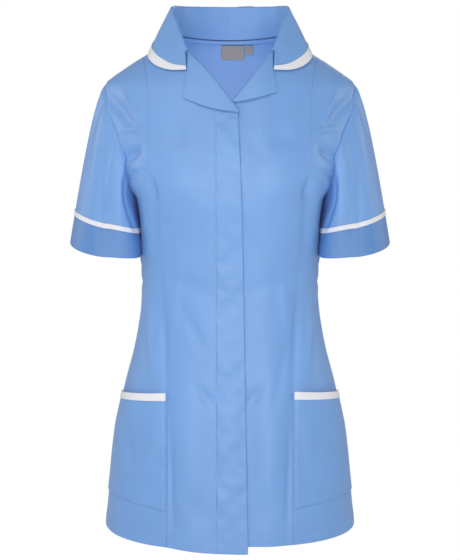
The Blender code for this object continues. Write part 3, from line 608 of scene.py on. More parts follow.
def side_front_place(side):
    def place(row, column, out=0.0):
        row, column = np.broadcast_arrays(np.asarray(row, float), np.asarray(column, float))
        seam_height = rise_to(PRINCESS_TOP, row, HEM - (OVERLAP_SEAM_DROP if side < 0 else 0.0))
        side_angle, side_height = side_edge(row, True)
        seam_angle = front_angle(princess(seam_height), seam_height)
        angle = mix(seam_angle, side_angle, column / (SIDE_COLUMNS - 1))
        height = mix(seam_height, side_height, column / (SIDE_COLUMNS - 1))
        return skin(angle if side > 0 else math.pi - angle, height, out)

    return place


def back_neck(share):
    return share * math.pi / 2, mix(NECK_SIDE, NECK_BACK, smooth_step(share))


def back_place(row, column, out=0.0):
    """Columns run from the left side to the right, and rows from the hem up past the armhole and along the
    shoulder seam to the neck."""
    row, column = np.broadcast_arrays(np.asarray(row, float), np.asarray(column, float))
    side = np.where(column <= BACK_HALF, 1, -1)
    share = np.minimum(column, 2 * BACK_HALF - column) / BACK_HALF
    side_angle, side_height = side_edge(np.minimum(row, BODY_ROWS), False)
    up = np.clip((row - BODY_ROWS) / SHOULDER_ROWS, 0, 1)
    above = row > BODY_ROWS
    side_angle = np.where(above, 0.0, side_angle)
    centre_height = np.where(above, mix(SHOULDER_POINT, NECK_BACK, up), side_height)
    side_height = np.where(above, mix(SHOULDER_POINT, NECK_SIDE, up), side_height)
    height = mix(side_height, centre_height, smooth_step(share))
    angle = -mix(side_angle, math.pi / 2, share)
    return skin(np.where(side > 0, angle, math.pi - angle), height, out)


def overlap_drop(share):
    return mix(OVERLAP_DROP, OVERLAP_SEAM_DROP, share**2.2)


def under_sink(across, height):
    """How deep the left front lies under the right one."""
    past = (across - front_edge(height) - 3 * MM) / UNDERLAP_BLEND
    return UNDERLAP_SINK * (1 - smooth_step(past))


def no_sink(across, height):
    return np.zeros(np.shape(across))


def no_drop(share):
    return np.zeros(np.shape(share))


def underlap_edge(height):
    return np.full(np.shape(height), UNDERLAP_EDGE)


# Pockets, sleeves, collar and lapels

def panel_row(height):
    return (height - HEM) / (UNDERARM - HEM) * SKIRT_ROWS


def pocket_face(side, rise, column, out=0.0):
    """The pocket's outer face: rise runs from its lower edge (0) to its mouth (1)."""
    share = column / (SIDE_COLUMNS - 1)
    mouth = mix(POCKET_MOUTH_FRONT, POCKET_MOUTH_SIDE, share)
    bottom = POCKET_BOTTOM + POCKET_ARCH * np.sin(math.pi * share)
    height = mix(bottom, mouth, rise)
    below = (mouth - height) / POCKET_GAPE_DEPTH
    gape = POCKET_GAPE * np.sin(math.pi * share) ** 1.3 * (1 - smooth_step(below))
    return side_front_place(side)(panel_row(height), column, LAID_ON + CLOTH + gape + out)


def sleeve_hem(around):
    """The oval of the hem, nearer to a box on the inner side of the arm."""
    oval = SLEEVE_HEM
    outer, forward = np.cos(around), np.sin(around)
    shape = np.where(outer < 0, np.where(forward > 0, 0.64, 0.8), 0.95)
    tuck = oval["front_tuck"] * np.maximum(-outer, 0) * np.maximum(forward, 0)
    return stack(oval["across"] - oval["half_width"] * signed_power(outer, shape) + tuck,
                 oval["behind"] - oval["half_depth"] * signed_power(forward, shape),
                 oval["height"] + oval["outer_rise"] * outer - oval["front_drop"] * forward) * MM


def sleeve_seam(around, side):
    around = around % (2 * math.pi)
    front_turn, front_height = armhole(np.clip(around / math.pi, 0, 1), True)
    back_turn, back_height = armhole(np.clip(2 - around / math.pi, 0, 1), False)
    front = around <= math.pi
    angle = np.where(front, front_turn, -back_turn)
    point = skin(math.pi - angle if side < 0 else angle, np.where(front, front_height, back_height))
    point[..., 0] = -np.abs(point[..., 0])
    return point


def sleeve_surface(along, around, side=-1):
    """The sleeve from the armhole (0) to the hem (1), drawn as the right one. At each place round it, it runs
    along a curve that leaves the armhole outwards and reaches the hem from above."""
    along, around = np.broadcast_arrays(np.asarray(along, float), np.asarray(around, float))
    outer, forward = np.cos(around), np.sin(around)
    inner = np.maximum(-outer, 0)
    start, end = sleeve_seam(around, side), sleeve_hem(around)
    leave = unit(stack(-(0.72 - 0.62 * inner), -0.30 * forward, -0.78 + 0.06 * outer))
    arrive = unit(stack(0.09 + 0.085 * outer, 0.03 * forward, np.ones_like(outer)))
    first = start + leave * (SLEEVE_LEAVE + (10 * forward**2 - 8 * inner**2) * MM)[..., None]
    second = end + arrive * (SLEEVE_ARRIVE + 44 * MM * outer)[..., None]
    share = along[..., None]
    rest = 1 - share
    return rest**3 * start + 3 * rest**2 * share * first + 3 * rest * share**2 * second + share**3 * end


def band_share(around, shift=0.0):
    """How far along the sleeve its white band is, or a line that far above it."""
    line = SLEEVE_BAND_LINE
    level = (line["height"] + line["outer_rise"] * np.cos(around) - line["front_drop"] * np.sin(around)) * MM
    low, high = np.full(around.shape, 0.3), np.ones(around.shape)
    for _ in range(HALVINGS):
        middle = (low + high) / 2
        above = sleeve_surface(middle, around)[..., 2] > level + shift
        low, high = np.where(above, middle, low), np.where(above, high, middle)
    return low


def collar_profiles(stations):
    """The visible face of the collar at each station of its left half, as points over the roll."""
    keys = range(2 * SHOULDER_STATION + 1)

    def entry(column):
        return through(keys, COLLAR[column], stations)

    def roll_at(at):
        return np.stack([through(keys, COLLAR["roll_" + axis], at) for axis in "xyz"], axis=-1) * MM

    back_turn, back_height = back_neck(np.clip(1 - stations / SHOULDER_STATION, 0, 1))
    front = neck_front(1, np.clip(2 - stations / SHOULDER_STATION, 0, 1))
    seam = np.where((stations <= SHOULDER_STATION)[:, None], skin(-back_turn, back_height),
                    front_skin(front[:, 0], front[:, 1]))
    edge = skin(np.radians(-entry("edge_turn")), entry("edge_z") * MM, entry("edge_lift") * MM)
    roll = roll_at(stations)
    last = 2 * SHOULDER_STATION
    along = roll_at(np.minimum(stations + 0.1, last)) - roll_at(np.maximum(stations - 0.1, 0))
    along[stations < 0.1] = (1.0, 0.0, 0.0)
    along = unit(along)
    up = roll - (seam + edge) / 2
    up = unit(up - along * np.sum(along * up, axis=-1, keepdims=True))
    out = unit(np.cross(along, up))
    out *= np.where(np.sum(out * (edge - seam), axis=-1, keepdims=True) < 0, -1, 1)
    middle = roll - up * ROLL_RADIUS
    inside, outside = middle - out * ROLL_RADIUS, middle + out * ROLL_RADIUS
    foot = seam + up * COLLAR_FOOT
    points = [foot, mix(foot, inside, 0.34), mix(foot, inside, 0.67), inside]
    for turn in (45, 90, 135):
        turn = math.radians(turn)
        points.append(middle - out * ROLL_RADIUS * math.cos(turn) + up * ROLL_RADIUS * math.sin(turn))
    points.append(outside)
    fall = np.linalg.norm(edge - outside, axis=-1, keepdims=True) / (80 * MM)
    for share in (0.2, 0.4, 0.6, 0.8):
        points.append(mix(outside, edge, share) + out * COLLAR_BULGE * math.sin(math.pi * share) * fall)
    points.append(edge)
    return np.stack(points, axis=1)


def collar_face(stations, shares):
    """A grid of the collar. Stations run from the right front end (-8) round the back to the left (8)."""
    profiles = collar_profiles(np.abs(stations))
    keys = range(profiles.shape[1])
    weights = np.stack([through(keys, np.eye(len(keys))[key], shares * (len(keys) - 1)) for key in keys])
    face = np.einsum("spx,pj->sjx", profiles, weights)
    face[..., 0] *= np.where(stations < 0, -1, 1)[:, None]
    return face


def lapel_face(data, share, across, base_sink):
    """A lapel: share runs down its roll line, and across from the panel over the fold to its edge."""
    share, across = np.broadcast_arrays(np.asarray(share, float), np.asarray(across, float))
    line_share = share * data["roll_end"]
    start, into = roll_point(data["roll"], line_share), roll_side(data["roll"], line_share)
    notch, tip = np.array(data["notch"]) * MM, np.array(data["point"]) * MM
    outer = mix(notch, tip, share[..., None])
    fold_end, half = LAPEL_FOLD_SHARE, CLOTH / 2
    turn = np.radians(mix(-90, 90, np.minimum(across / fold_end, 1)))
    on_fold = start + into * (LAPEL_FOLD * (1 - np.cos(turn)) - half * np.cos(turn))[..., None]
    fold_lift = LAPEL_FOLD * np.sin(turn) + LAPEL_FOLD - half + half * np.sin(turn)
    part = np.clip((across - fold_end) / (1 - fold_end), 0, 1)
    flat = mix(start + into * LAPEL_FOLD, outer, part[..., None])
    sag = data["lower_sag"] * MM * np.sin(math.pi * part) * share**3
    flat = flat - np.stack([np.zeros_like(sag), sag], axis=-1)
    lift = mix(2 * LAPEL_FOLD - half, LAPEL_REST + half, smooth_step(part)) + half
    lift = lift + LAPEL_BELLY * np.sin(math.pi * part) * share
    folding = across <= fold_end
    flat = np.where(folding[..., None], on_fold, flat)
    lift = np.where(folding, fold_lift, lift)
    return front_skin(flat[..., 0], flat[..., 1], lift - base_sink(flat[..., 0], flat[..., 1]))


# How near two points of a mesh are when they are one
WELD = 1e-6


# Making a piece of cloth from a grid of points

def fine(start, end, steps, edge=0.0):
    """Even steps, with two close ones at each end where the cloth's edge is rounded."""
    places = np.linspace(start, end, steps + 1)
    if not edge:
        return places
    near = [start + edge * 0.25, start + edge, end - edge, end - edge * 0.25]
    return np.unique(np.concatenate([places, near]))


def lengths(face, axis):
    """How far along the cloth each point is from the first row or column."""
    steps = np.linalg.norm(np.diff(face, axis=axis), axis=-1)
    lead = np.zeros_like(np.take(steps, [0], axis=axis))
    return np.concatenate([lead, np.cumsum(steps, axis=axis)], axis=axis)


def outward(face, centre, closed=False):
    """Normals of a grid, away from a centre."""
    if closed:
        ring = face[:, :-1]
        round_body = np.roll(ring, -1, axis=1) - np.roll(ring, 1, axis=1)
        round_body = np.concatenate([round_body, round_body[:, :1]], axis=1)
    else:
        round_body = np.gradient(face, axis=1)
    normal = unit(np.cross(round_body, np.gradient(face, axis=0)))
    return normal if np.sum(normal * (face - np.asarray(centre))) > 0 else -normal


def lifted(face, raised, centre, closed=False):
    """The face raised along its normals, and its new normals."""
    face = face + outward(face, centre, closed) * raised[..., None]
    if closed:
        face[:, -1] = face[:, 0]
    return face, outward(face, centre, closed)


def edge_rounding(face, radius, closed, tight):
    """How far the wall draws in from its face at each point, so that its edges are round."""
    round_way, up_way = lengths(face, 1), lengths(face, 0)
    edge = np.minimum(up_way, up_way[-1:] - up_way)
    if not closed:
        edge = np.minimum(edge, np.minimum(round_way, round_way[:, -1:] - round_way) / tight)
    inside = np.minimum(edge, radius)
    return radius - np.sqrt(np.maximum(radius**2 - (radius - inside)**2, 0))


def grid_mesh(name, walls):
    """A mesh with one grid of faces for each wall."""
    rows, columns = walls[0].shape[:2]
    work = bmesh.new()
    for _ in walls:
        bmesh.ops.create_grid(work, x_segments=columns - 1, y_segments=rows - 1, size=0.5)
    data = bpy.data.meshes.new(name)
    work.to_mesh(data)
    work.free()
    points = np.concatenate([wall.reshape(-1, 3) for wall in walls])
    data.vertices.foreach_set("co", points.astype(np.float32).ravel())
    return data


def weld(data):
    """Joins the walls along their borders, and turns every face outwards."""
    work = bmesh.new()
    work.from_mesh(data)
    bmesh.ops.remove_doubles(work, verts=work.verts, dist=WELD)
    bmesh.ops.recalc_face_normals(work, faces=work.faces)
    work.to_mesh(data)
    work.free()


def placed(name, data, finish):
    data.shade_smooth()
    data.materials.append(finish)
    made = bpy.data.objects.new(name, data)
    bpy.context.scene.collection.objects.link(made)
    return made


def for_both(*layers):
    """Values of a grid's points, as a row for each point of both walls."""
    return np.concatenate([np.stack(layers, axis=-1).reshape(-1, len(layers))] * 2).astype(np.float32)


def cloth(name, face, normal, thick, finish, closed=False, lines=(), tight=1.0):
    """A thin wall behind a face, with rounded edges, from two grids welded along their borders. Its UV map
    holds the place along the cloth in metres, and "sewn" how far each point is from up to three rows of
    stitches. tight narrows the rounding at the ends of the rows, where they meet in a seam."""
    radius = np.broadcast_to(np.asarray(thick, float), face.shape[:2]) / 2
    rounding = edge_rounding(face, radius, closed, tight)
    outer = face - normal * rounding[..., None]
    inner = face - normal * (2 * radius - rounding)[..., None]
    if closed:
        outer[:, -1] = outer[:, 0]
        inner[:, -1] = inner[:, 0]
    data = grid_mesh(name, (outer, inner))
    corner = np.zeros(len(data.loops), np.int32)
    data.loops.foreach_get("vertex_index", corner)
    weave = for_both(lengths(face, 1), lengths(face, 0))[corner]
    data.uv_layers.new(name="weave").data.foreach_set("uv", weave.ravel())
    far = [np.ones(face.shape[:2])] * (3 - len(lines))
    attribute = data.attributes.new("sewn", "FLOAT_VECTOR", "POINT")
    attribute.data.foreach_set("vector", for_both(*far, *lines).ravel())
    weld(data)
    return placed(name, data, finish)


def crossing(face, normal, at):
    """The line that crosses each row of a grid at a place among its columns."""
    low = np.clip(at.astype(int), 0, face.shape[1] - 2)
    share = (at - low)[:, None]
    row = np.arange(len(face))
    return (mix(face[row, low], face[row, low + 1], share),
            unit(mix(normal[row, low], normal[row, low + 1], share)))


def seam_line(face, normal, distance, axis):
    """The line that far in from the first row (axis 0) or column (axis 1), or from the last one where
    distance is negative."""
    if axis == 0:
        face, normal = np.swapaxes(face, 0, 1), np.swapaxes(normal, 0, 1)
    way = lengths(face, 1)
    goals = np.where(distance > 0, distance, way[:, -1] + distance)
    at = np.array([np.interp(goal, along, np.arange(len(along))) for goal, along in zip(goals, way)])
    return crossing(face, normal, at)


def read_along(way, values, at):
    return Vector([np.interp(at, way, values[:, axis]) for axis in range(3)])


def add_stitch(work, first, last, up):
    """A small grain of thread from one point to another, lying on the cloth."""
    along = (last - first).normalized()
    over = up.cross(along).normalized()
    up = along.cross(over)
    turn = Matrix((over, up, along)).transposed().to_4x4()
    size = Matrix.Diagonal((STITCH_RADIUS, STITCH_RADIUS * 0.8, STITCH_LENGTH / 2, 1))
    place = Matrix.Translation((first + last) / 2 + up * STITCH_RADIUS * 0.25)
    bmesh.ops.create_uvsphere(work, u_segments=6, v_segments=4, radius=1.0, matrix=place @ turn @ size)


def stitches(name, runs, finish):
    """Rows of topstitching. Each row is made apart, because a large bmesh is slow to add to."""
    whole = bmesh.new()
    for points, normals in runs:
        way = np.concatenate([[0], np.cumsum(np.linalg.norm(np.diff(points, axis=0), axis=1))])
        run = bmesh.new()
        for count in range(int(way[-1] / STITCH_PITCH)):
            start = (count + STITCH_START) * STITCH_PITCH
            first, last = (read_along(way, points, at) for at in (start, start + STITCH_LENGTH))
            add_stitch(run, first, last, read_along(way, normals, start).normalized())
        part = bpy.data.meshes.new("run")
        run.to_mesh(part)
        run.free()
        whole.from_mesh(part)
        bpy.data.meshes.remove(part)
    data = bpy.data.meshes.new(name)
    whole.to_mesh(data)
    whole.free()
    return placed(name, data, finish)


# Finishes

def add_node(tree, kind, **settings):
    new = tree.nodes.new(kind)
    for key, value in settings.items():
        setattr(new, key, value)
    return new


def maths(tree, operation, first, second=None, clamp=False):
    new = add_node(tree, "ShaderNodeMath", operation=operation, use_clamp=clamp)
    for socket, value in zip(new.inputs, (first, second)):
        if isinstance(value, (int, float)):
            socket.default_value = value
        elif value is not None:
            tree.links.new(value, socket)
    return new.outputs[0]


def noise(tree, vector, scale, detail):
    new = add_node(tree, "ShaderNodeTexNoise", noise_dimensions="3D")
    new.inputs["Scale"].default_value = scale
    new.inputs["Detail"].default_value = detail
    tree.links.new(vector, new.inputs["Vector"])
    return new.outputs["Fac"]


def bump(tree, height, distance, strength, under=None):
    new = add_node(tree, "ShaderNodeBump")
    new.inputs["Strength"].default_value = strength
    new.inputs["Distance"].default_value = distance
    tree.links.new(height, new.inputs["Height"])
    if under is not None:
        tree.links.new(under, new.inputs["Normal"])
    return new.outputs[0]


def yarn(tree, pitch):
    """The threads of a plain weave, which run both ways, and the thick and thin places along them."""
    weave_map = add_node(tree, "ShaderNodeUVMap", uv_map="weave").outputs[0]
    way = add_node(tree, "ShaderNodeSeparateXYZ")
    tree.links.new(weave_map, way.inputs[0])
    turns = 2 * math.pi / pitch
    warp, weft = (maths(tree, "SINE", maths(tree, "MULTIPLY", way.outputs[axis], turns)) for axis in range(2))
    stretch = add_node(tree, "ShaderNodeMapping")
    stretch.inputs["Scale"].default_value = (1 / SLUB_LENGTH, 1 / SLUB_WIDTH, 1)
    tree.links.new(weave_map, stretch.inputs[0])
    return maths(tree, "MULTIPLY", warp, weft), noise(tree, stretch.outputs[0], scale=1.0, detail=2.0)


def off_stitches(tree):
    """0 on a row of stitches, rising to 1 a little way off."""
    sewn = add_node(tree, "ShaderNodeAttribute", attribute_name="sewn").outputs["Vector"]
    away = add_node(tree, "ShaderNodeVectorMath", operation="ABSOLUTE")
    tree.links.new(sewn, away.inputs[0])
    apart = add_node(tree, "ShaderNodeSeparateXYZ")
    tree.links.new(away.outputs[0], apart.inputs[0])
    nearer = maths(tree, "MINIMUM", apart.outputs[0], apart.outputs[1])
    return maths(tree, "DIVIDE", maths(tree, "MINIMUM", nearer, apart.outputs[2]), GROOVE_REACH, clamp=True)


def dyed(tree, colour, parts):
    """The colour, made lighter or darker by each part of the cloth's tone; the part along the stitches is
    painted shade.
    """
    tone = BASE_TONE
    for name, part in parts.items():
        tone = maths(tree, "ADD", maths(tree, "MULTIPLY", part, TONES[name]), tone)
    grey = add_node(tree, "ShaderNodeCombineColor")
    for socket in grey.inputs:
        tree.links.new(tone, socket)
    base = add_node(tree, "ShaderNodeMix", data_type="RGBA", blend_type="MULTIPLY")
    base.inputs["Factor"].default_value = 1.0
    base.inputs["A"].default_value = (*colour, 1.0)
    tree.links.new(grey.outputs[0], base.inputs["B"])
    return base.outputs["Result"]


def woven(name, colour, pitch=THREAD_PITCH, roughness=0.5, sheen=0.08, groove=STITCH_GROOVE):
    """Plain-woven cloth: threads both ways, uneven yarn and dye, small crumples, and a groove along the rows
    of stitches, where the colour is darkened as painted shade."""
    made = bpy.data.materials.new(name)
    made.use_nodes = True
    tree = made.node_tree
    shader = tree.nodes["Principled BSDF"]
    shader.inputs["Roughness"].default_value = roughness
    shader.inputs["Sheen Weight"].default_value = sheen
    shader.inputs["Sheen Roughness"].default_value = SHEEN_ROUGHNESS
    shader.inputs["Specular IOR Level"].default_value = SPECULAR
    place = add_node(tree, "ShaderNodeTexCoord").outputs["Object"]
    threads, slub = yarn(tree, pitch)
    # 0 on the rows of stitches: it sinks the groove in the bump and darkens the colour there, as painted
    #                            shade
    stitch_groove_and_shade = off_stitches(tree)
    dye = noise(tree, place, scale=22.0, detail=3.0)
    base = dyed(tree, colour, {"slub": slub, "dye": dye, "threads": threads, "stitch_groove_and_shade": stitch_groove_and_shade})
    tree.links.new(base, shader.inputs["Base Color"])
    crumple = noise(tree, place, scale=34.0, detail=2.5)
    soft = bump(tree, crumple, CRUMPLE_HEIGHT, strength=0.5)
    threaded = bump(tree, maths(tree, "ADD", threads, slub), THREAD_HEIGHT, strength=0.35, under=soft)
    tree.links.new(bump(tree, stitch_groove_and_shade, groove, strength=0.8, under=threaded), shader.inputs["Normal"])
    return made


BLUE = woven("blue_poplin", BLUE_DYE)
# A darker copy of the blue for the cuffs: painted shade
SHADED_CUFF_BLUE = woven("shaded_cuff_poplin", SHADED_CUFF_DYE)
WHITE = woven("white_binding", WHITE_DYE, sheen=0.05)
LABEL = woven("woven_label", LABEL_DYE, pitch=0.4 * MM, roughness=0.55)
BLUE_THREAD = woven("blue_thread", BLUE_THREAD_DYE, pitch=0.5 * MM, groove=0.0)
WHITE_THREAD = woven("white_thread", WHITE_THREAD_DYE, pitch=0.5 * MM, groove=0.0)


def sewn_on(piece, node, slot, **sheet):
    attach(piece, "root")
    if node:
        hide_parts(node)
    return piece


def cut(face, held, **more):
    width, length = lengths(face, 1)[:, -1].max(), lengths(face, 0)[-1].max()
    one_way, other_way = face[1:, 1:] - face[:-1, :-1], face[1:, :-1] - face[:-1, 1:]
    area = float(np.linalg.norm(np.cross(one_way, other_way), axis=-1).sum() / 2)
    flat = (round(width, 3), round(length, 3))
    return {"flat": flat, "area": min(area, width * length), "held": held, **more}


# What the sewing does to the cloth

def beside(distance, width):
    """1 on a seam, fading to nothing a few widths from it."""
    return np.exp(-(distance / width)**2)


def hemmed(up_way, thick=CLOTH):
    """The wall's thickness, doubled where the hem is turned up inside."""
    return thick * (1 + 0.9 * (1 - smooth_step((up_way - HEM_DEPTH) / (1.2 * MM))))


def stitch_dip(distance):
    return -STITCH_DIP * beside(distance, STITCH_DIP_WIDTH)


def hem_relief(up_way, in_way, seed):
    """The turned-up hem: a groove under its stitches, and puckers between them and the edge."""
    above = up_way - HEM_DEPTH
    puckers = ripple(in_way + 0.2 * above, seed) * beside(above + 5 * MM, 10 * MM)
    return HEM_STEP * smooth_step(1 - above / (4 * MM)) + stitch_dip(above) + HEM_PUCKER * puckers


def seam_relief(distance, height):
    """The groove of a long seam, deeper over the chest."""
    deeper = 1 + 2.5 * smooth_step((height + 120 * MM) / (40 * MM))
    return -SEAM_GROOVE * deeper * beside(distance, SEAM_GROOVE_WIDTH)


def armhole_relief(distance, height):
    """A groove at the armhole seam and, beside it, a soft rim over the allowance."""
    above = smooth_step((height - UNDERARM) / (12 * MM))
    return above * (ARMHOLE_RIM * beside(distance - 5.5 * MM, 3.2 * MM) + stitch_dip(distance))


def below_flap_top(height):
    return smooth_step((FLAP_TOP - height) / (6 * MM))


def on_flap(face):
    """1 on the front flap, between its row of stitches and its edge."""
    return smooth_step((face[..., 0] - PLACKET_STITCH) / (2 * MM)) * below_flap_top(face[..., 2])


def flap_relief(face, up_way):
    """The front flap: a second layer that ripples between its stitches and its edge."""
    across, height = face[..., 0] - PLACKET_STITCH, face[..., 2]
    strength = through(PUCKERS["height"], PUCKERS["rise"], height / MM)
    wave = (ripple(0.34 * up_way - 0.32 * across, seed=0.4) + ripple(0.3 * up_way + 0.36 * across, seed=2.2)
            + 0.6 * ripple(0.6 * up_way + 0.1 * across, seed=3.1)) / 2
    gathers = 0.2 * MM * strength * ripple(up_way, seed=1.1) * beside(across, 5 * MM)
    groove = -STITCH_DIP * beside(across, 1.6 * MM)
    return on_flap(face) * (0.5 + 2.0 * strength * wave) * MM + below_flap_top(height) * (groove + gathers)


# The pieces, and the rows of stitches that they get

thread_runs = []
white_runs = []


def body_rows(top_rows):
    """Rows from the hem up, close together at the hem's edge."""
    low = fine(0, SKIRT_ROWS, SKIRT_ROWS * 12, edge=0.018)
    high = np.linspace(SKIRT_ROWS, top_rows, (top_rows - SKIRT_ROWS) * 8 + 1)[1:]
    return np.concatenate([low[:-2], [SKIRT_ROWS], high])[:, None]


def make_panel(node, face, raised, layer=0.0, lines=()):
    """A panel of the body, stitched along its hem. layer is the thickness of what is sewn on it."""
    up_way = lengths(face, 0)
    face, normal = lifted(face, raised, BODY_CENTRE)
    piece = cloth(f"{node}_cloth", face, normal, hemmed(up_way) + layer, BLUE,
                  lines=[up_way - HEM_DEPTH, *lines], tight=SEAM_TIGHT)
    sewn_on(piece, node, "tunic_cloth", **cut(face, "hung"))
    thread_runs.append(seam_line(face, normal, HEM_DEPTH, 0))
    return face, normal


def front_panel(place):
    """A centre front's face, and the relief that both fronts have."""
    columns = fine(0, FRONT_COLUMNS - 1, (FRONT_COLUMNS - 1) * 6, edge=0.05)
    face = place(body_rows(BODY_ROWS), columns[None, :])
    in_way = lengths(face, 1)
    raised = hem_relief(lengths(face, 0), in_way, seed=1.7)
    return face, raised + seam_relief(in_way[:, -1:] - in_way, face[..., 2])


def make_front_right():
    face, raised = front_panel(front_place(-1, ROLL_RIGHT, front_edge, overlap_drop, no_sink))
    raised += flap_relief(face, lengths(face, 0))
    raised += raised_by(FLAP_FOLDS, face[..., 0] / MM, face[..., 2] / MM, 1)
    off_placket = np.where(face[..., 2] < FLAP_TOP, face[..., 0] - PLACKET_STITCH, 1.0)
    face, normal = make_panel("front_right", face, raised, FLAP_CLOTH * on_flap(face), [off_placket])
    low = face[:, 0, 2] < FLAP_TOP
    at = np.array([np.interp(-PLACKET_STITCH, -row[:, 0], np.arange(len(row))) for row in face[low]])
    thread_runs.append(crossing(face[low], normal[low], at))


def make_front_left():
    make_panel("front_left", *front_panel(front_place(1, ROLL_LEFT, underlap_edge, no_drop, under_sink)))


def make_side_front(side, name):
    face = side_front_place(side)(body_rows(BODY_ROWS), fine(0, SIDE_COLUMNS - 1, 48, edge=0.05)[None, :])
    in_way, height = lengths(face, 1), face[..., 2]
    to_side = in_way[:, -1:] - in_way
    raised = hem_relief(lengths(face, 0), in_way, seed=2.1 + side) + armhole_relief(to_side, height)
    raised += seam_relief(in_way, height) + seam_relief(to_side, height)
    make_panel(f"side_front_{name}", face, raised)


def make_back():
    face = back_place(body_rows(BACK_ROWS), fine(0, 2 * BACK_HALF, 2 * BACK_HALF * 6, edge=0.03)[None, :])
    in_way, height = lengths(face, 1), face[..., 2]
    to_side = np.minimum(in_way, in_way[:, -1:] - in_way)
    raised = hem_relief(lengths(face, 0), in_way, seed=3.3) + armhole_relief(to_side, height)
    make_panel("back", face, raised + seam_relief(to_side, height))


def stitch_band(strip, normal, axis):
    """Rows of white stitches along both edges of a white band."""
    for inset in (BAND_STITCH, -BAND_STITCH):
        white_runs.append(seam_line(strip, normal, inset, axis))


def make_pocket(side, name):
    columns = fine(POCKET_INSET, SIDE_COLUMNS - 1 - POCKET_INSET, 48, edge=0.05)[None, :]
    face = pocket_face(side, fine(0, 1, 72, edge=0.005)[:, None], columns)
    up_way, in_way = lengths(face, 0), lengths(face, 1)
    raised = POCKET_RIM * ripple(0.9 * up_way, seed=5.1 + side) * beside(in_way - 2 * MM, 5 * MM)
    raised += POCKET_RIM * (beside(in_way - 4 * MM, 3 * MM) - beside(in_way, 1.6 * MM))
    raised += 0.25 * MM * ripple(in_way, seed=4.0 + side) * beside(up_way, 6 * MM)
    face, normal = lifted(face, raised, BODY_CENTRE)
    piece = cloth(f"pocket_{name}_cloth", face, normal, CLOTH, BLUE,
                  lines=[in_way - EDGE_STITCH, up_way - EDGE_STITCH])
    sewn_on(piece, f"pocket_{name}", "tunic_cloth",
            **cut(face, "hung", rests_on=[f"side_front_{name}_cloth"]))
    for axis in (1, 0):
        thread_runs.append(seam_line(face, normal, EDGE_STITCH, axis))
    start = 1 - POCKET_BAND / up_way[-1].mean()
    strip = pocket_face(side, fine(start, 1, 8, edge=0.004)[:, None], columns, LAID_ON + TAPE)
    normal = outward(strip, BODY_CENTRE)
    piece = cloth(f"pocket_{name}_edging", strip, normal, TAPE, WHITE)
    sewn_on(piece, f"pocket_band_{name}", "white_band",
            **cut(strip, "laid", rests_on=[f"pocket_{name}_cloth"]))
    stitch_band(strip, normal, 0)


def sleeve_tube(side, start, end, steps, out=0.0):
    """A stretch of a sleeve between two lines round it, with its folds, and its normals."""
    turns = np.linspace(0, 2 * math.pi, SLEEVE_STEPS + 1)
    along = mix(start(turns)[None, :], end(turns)[None, :], fine(0, 1, steps, edge=0.3 / steps)[:, None])
    face = sleeve_surface(along, turns[None, :], side)
    around = np.degrees(turns)[None, :]
    raised = sum(raised_by(SLEEVE_FOLDS, around + turned, along * 100, side) for turned in (-360, 0, 360))
    raised *= smooth_step(along / 0.14)
    from_seam = np.linalg.norm(face - sleeve_surface(0 * along, turns[None, :], side), axis=-1)
    raised += SLEEVE_RIM * beside(from_seam - 9 * MM, 6 * MM) - 0.2 * MM * beside(from_seam, STITCH_DIP_WIDTH)
    face, normal = lifted(face, raised + out, face.mean(axis=(0, 1)), closed=True)
    face[..., 0] *= -side
    normal[..., 0] *= -side
    return face, normal


def make_sleeve(side, name):
    def armhole_line(turns):
        return np.full_like(turns, -UNDER_ARMHOLE)

    def hem_line(turns):
        return np.ones_like(turns)

    def band_line(shift):
        return lambda turns: band_share(turns, shift)

    face, normal = sleeve_tube(side, band_line(SLEEVE_BAND / 2), band_line(-SLEEVE_BAND / 2), steps=6,
                               out=LAID_ON + TAPE)
    band = cloth(f"sleeve_{name}_edging", face, normal, TAPE, WHITE, closed=True)
    sewn_on(band, f"sleeve_band_{name}", "white_band")
    stitch_band(face, normal, 0)
    face, normal = sleeve_tube(side, armhole_line, band_line(0), steps=72)
    piece = cloth(f"sleeve_{name}_cloth", face, normal, CLOTH, BLUE, closed=True)
    sewn_on(piece, f"sleeve_{name}", "tunic_cloth", **cut(face, "hung", with_pieces=[band]))
    face, normal = sleeve_tube(side, band_line(0), hem_line, steps=20)
    # The cuff is coloured darker, painted shade for a cuff that faces down and lies in shade on its inner
    # side
    piece = cloth(f"cuff_{name}_cloth", face, normal, CUFF_CLOTH, SHADED_CUFF_BLUE, closed=True)
    sewn_on(piece, f"cuff_{name}", "tunic_cloth", **cut(face, "hung"))


def collar_grid(stations, shares, out=0.0):
    """A grid of the collar with its folds, and its normals."""
    face = collar_face(stations, shares)
    normal = unit(np.cross(np.gradient(face, axis=0), np.gradient(face, axis=1)))
    raised = raised_by(COLLAR_FOLDS, stations[:, None] * 10, shares[None, :] * 100) + out
    face = face + normal * raised[..., None]
    return face, unit(np.cross(np.gradient(face, axis=0), np.gradient(face, axis=1)))


def make_collar():
    stations = fine(-2 * SHOULDER_STATION, 2 * SHOULDER_STATION, 200, edge=0.015)
    face, normal = collar_grid(stations, fine(0, 1, 72, edge=0.004))
    collar = cloth("collar_cloth", face, normal, COLLAR_CLOTH, BLUE)
    over = lengths(face, 1)[:, -1].mean()
    strip, normal = collar_grid(stations, fine(1 - COLLAR_BAND / over, 1, 8, edge=0.004), LAID_ON + TAPE)
    band = cloth("collar_edging", strip, normal, TAPE, WHITE)
    stitch_band(strip, normal, 1)
    sewn_on(band, "collar_band", "white_band")
    sewn_on(collar, "collar", "tunic_cloth", **cut(face, "folded", with_pieces=[band]))


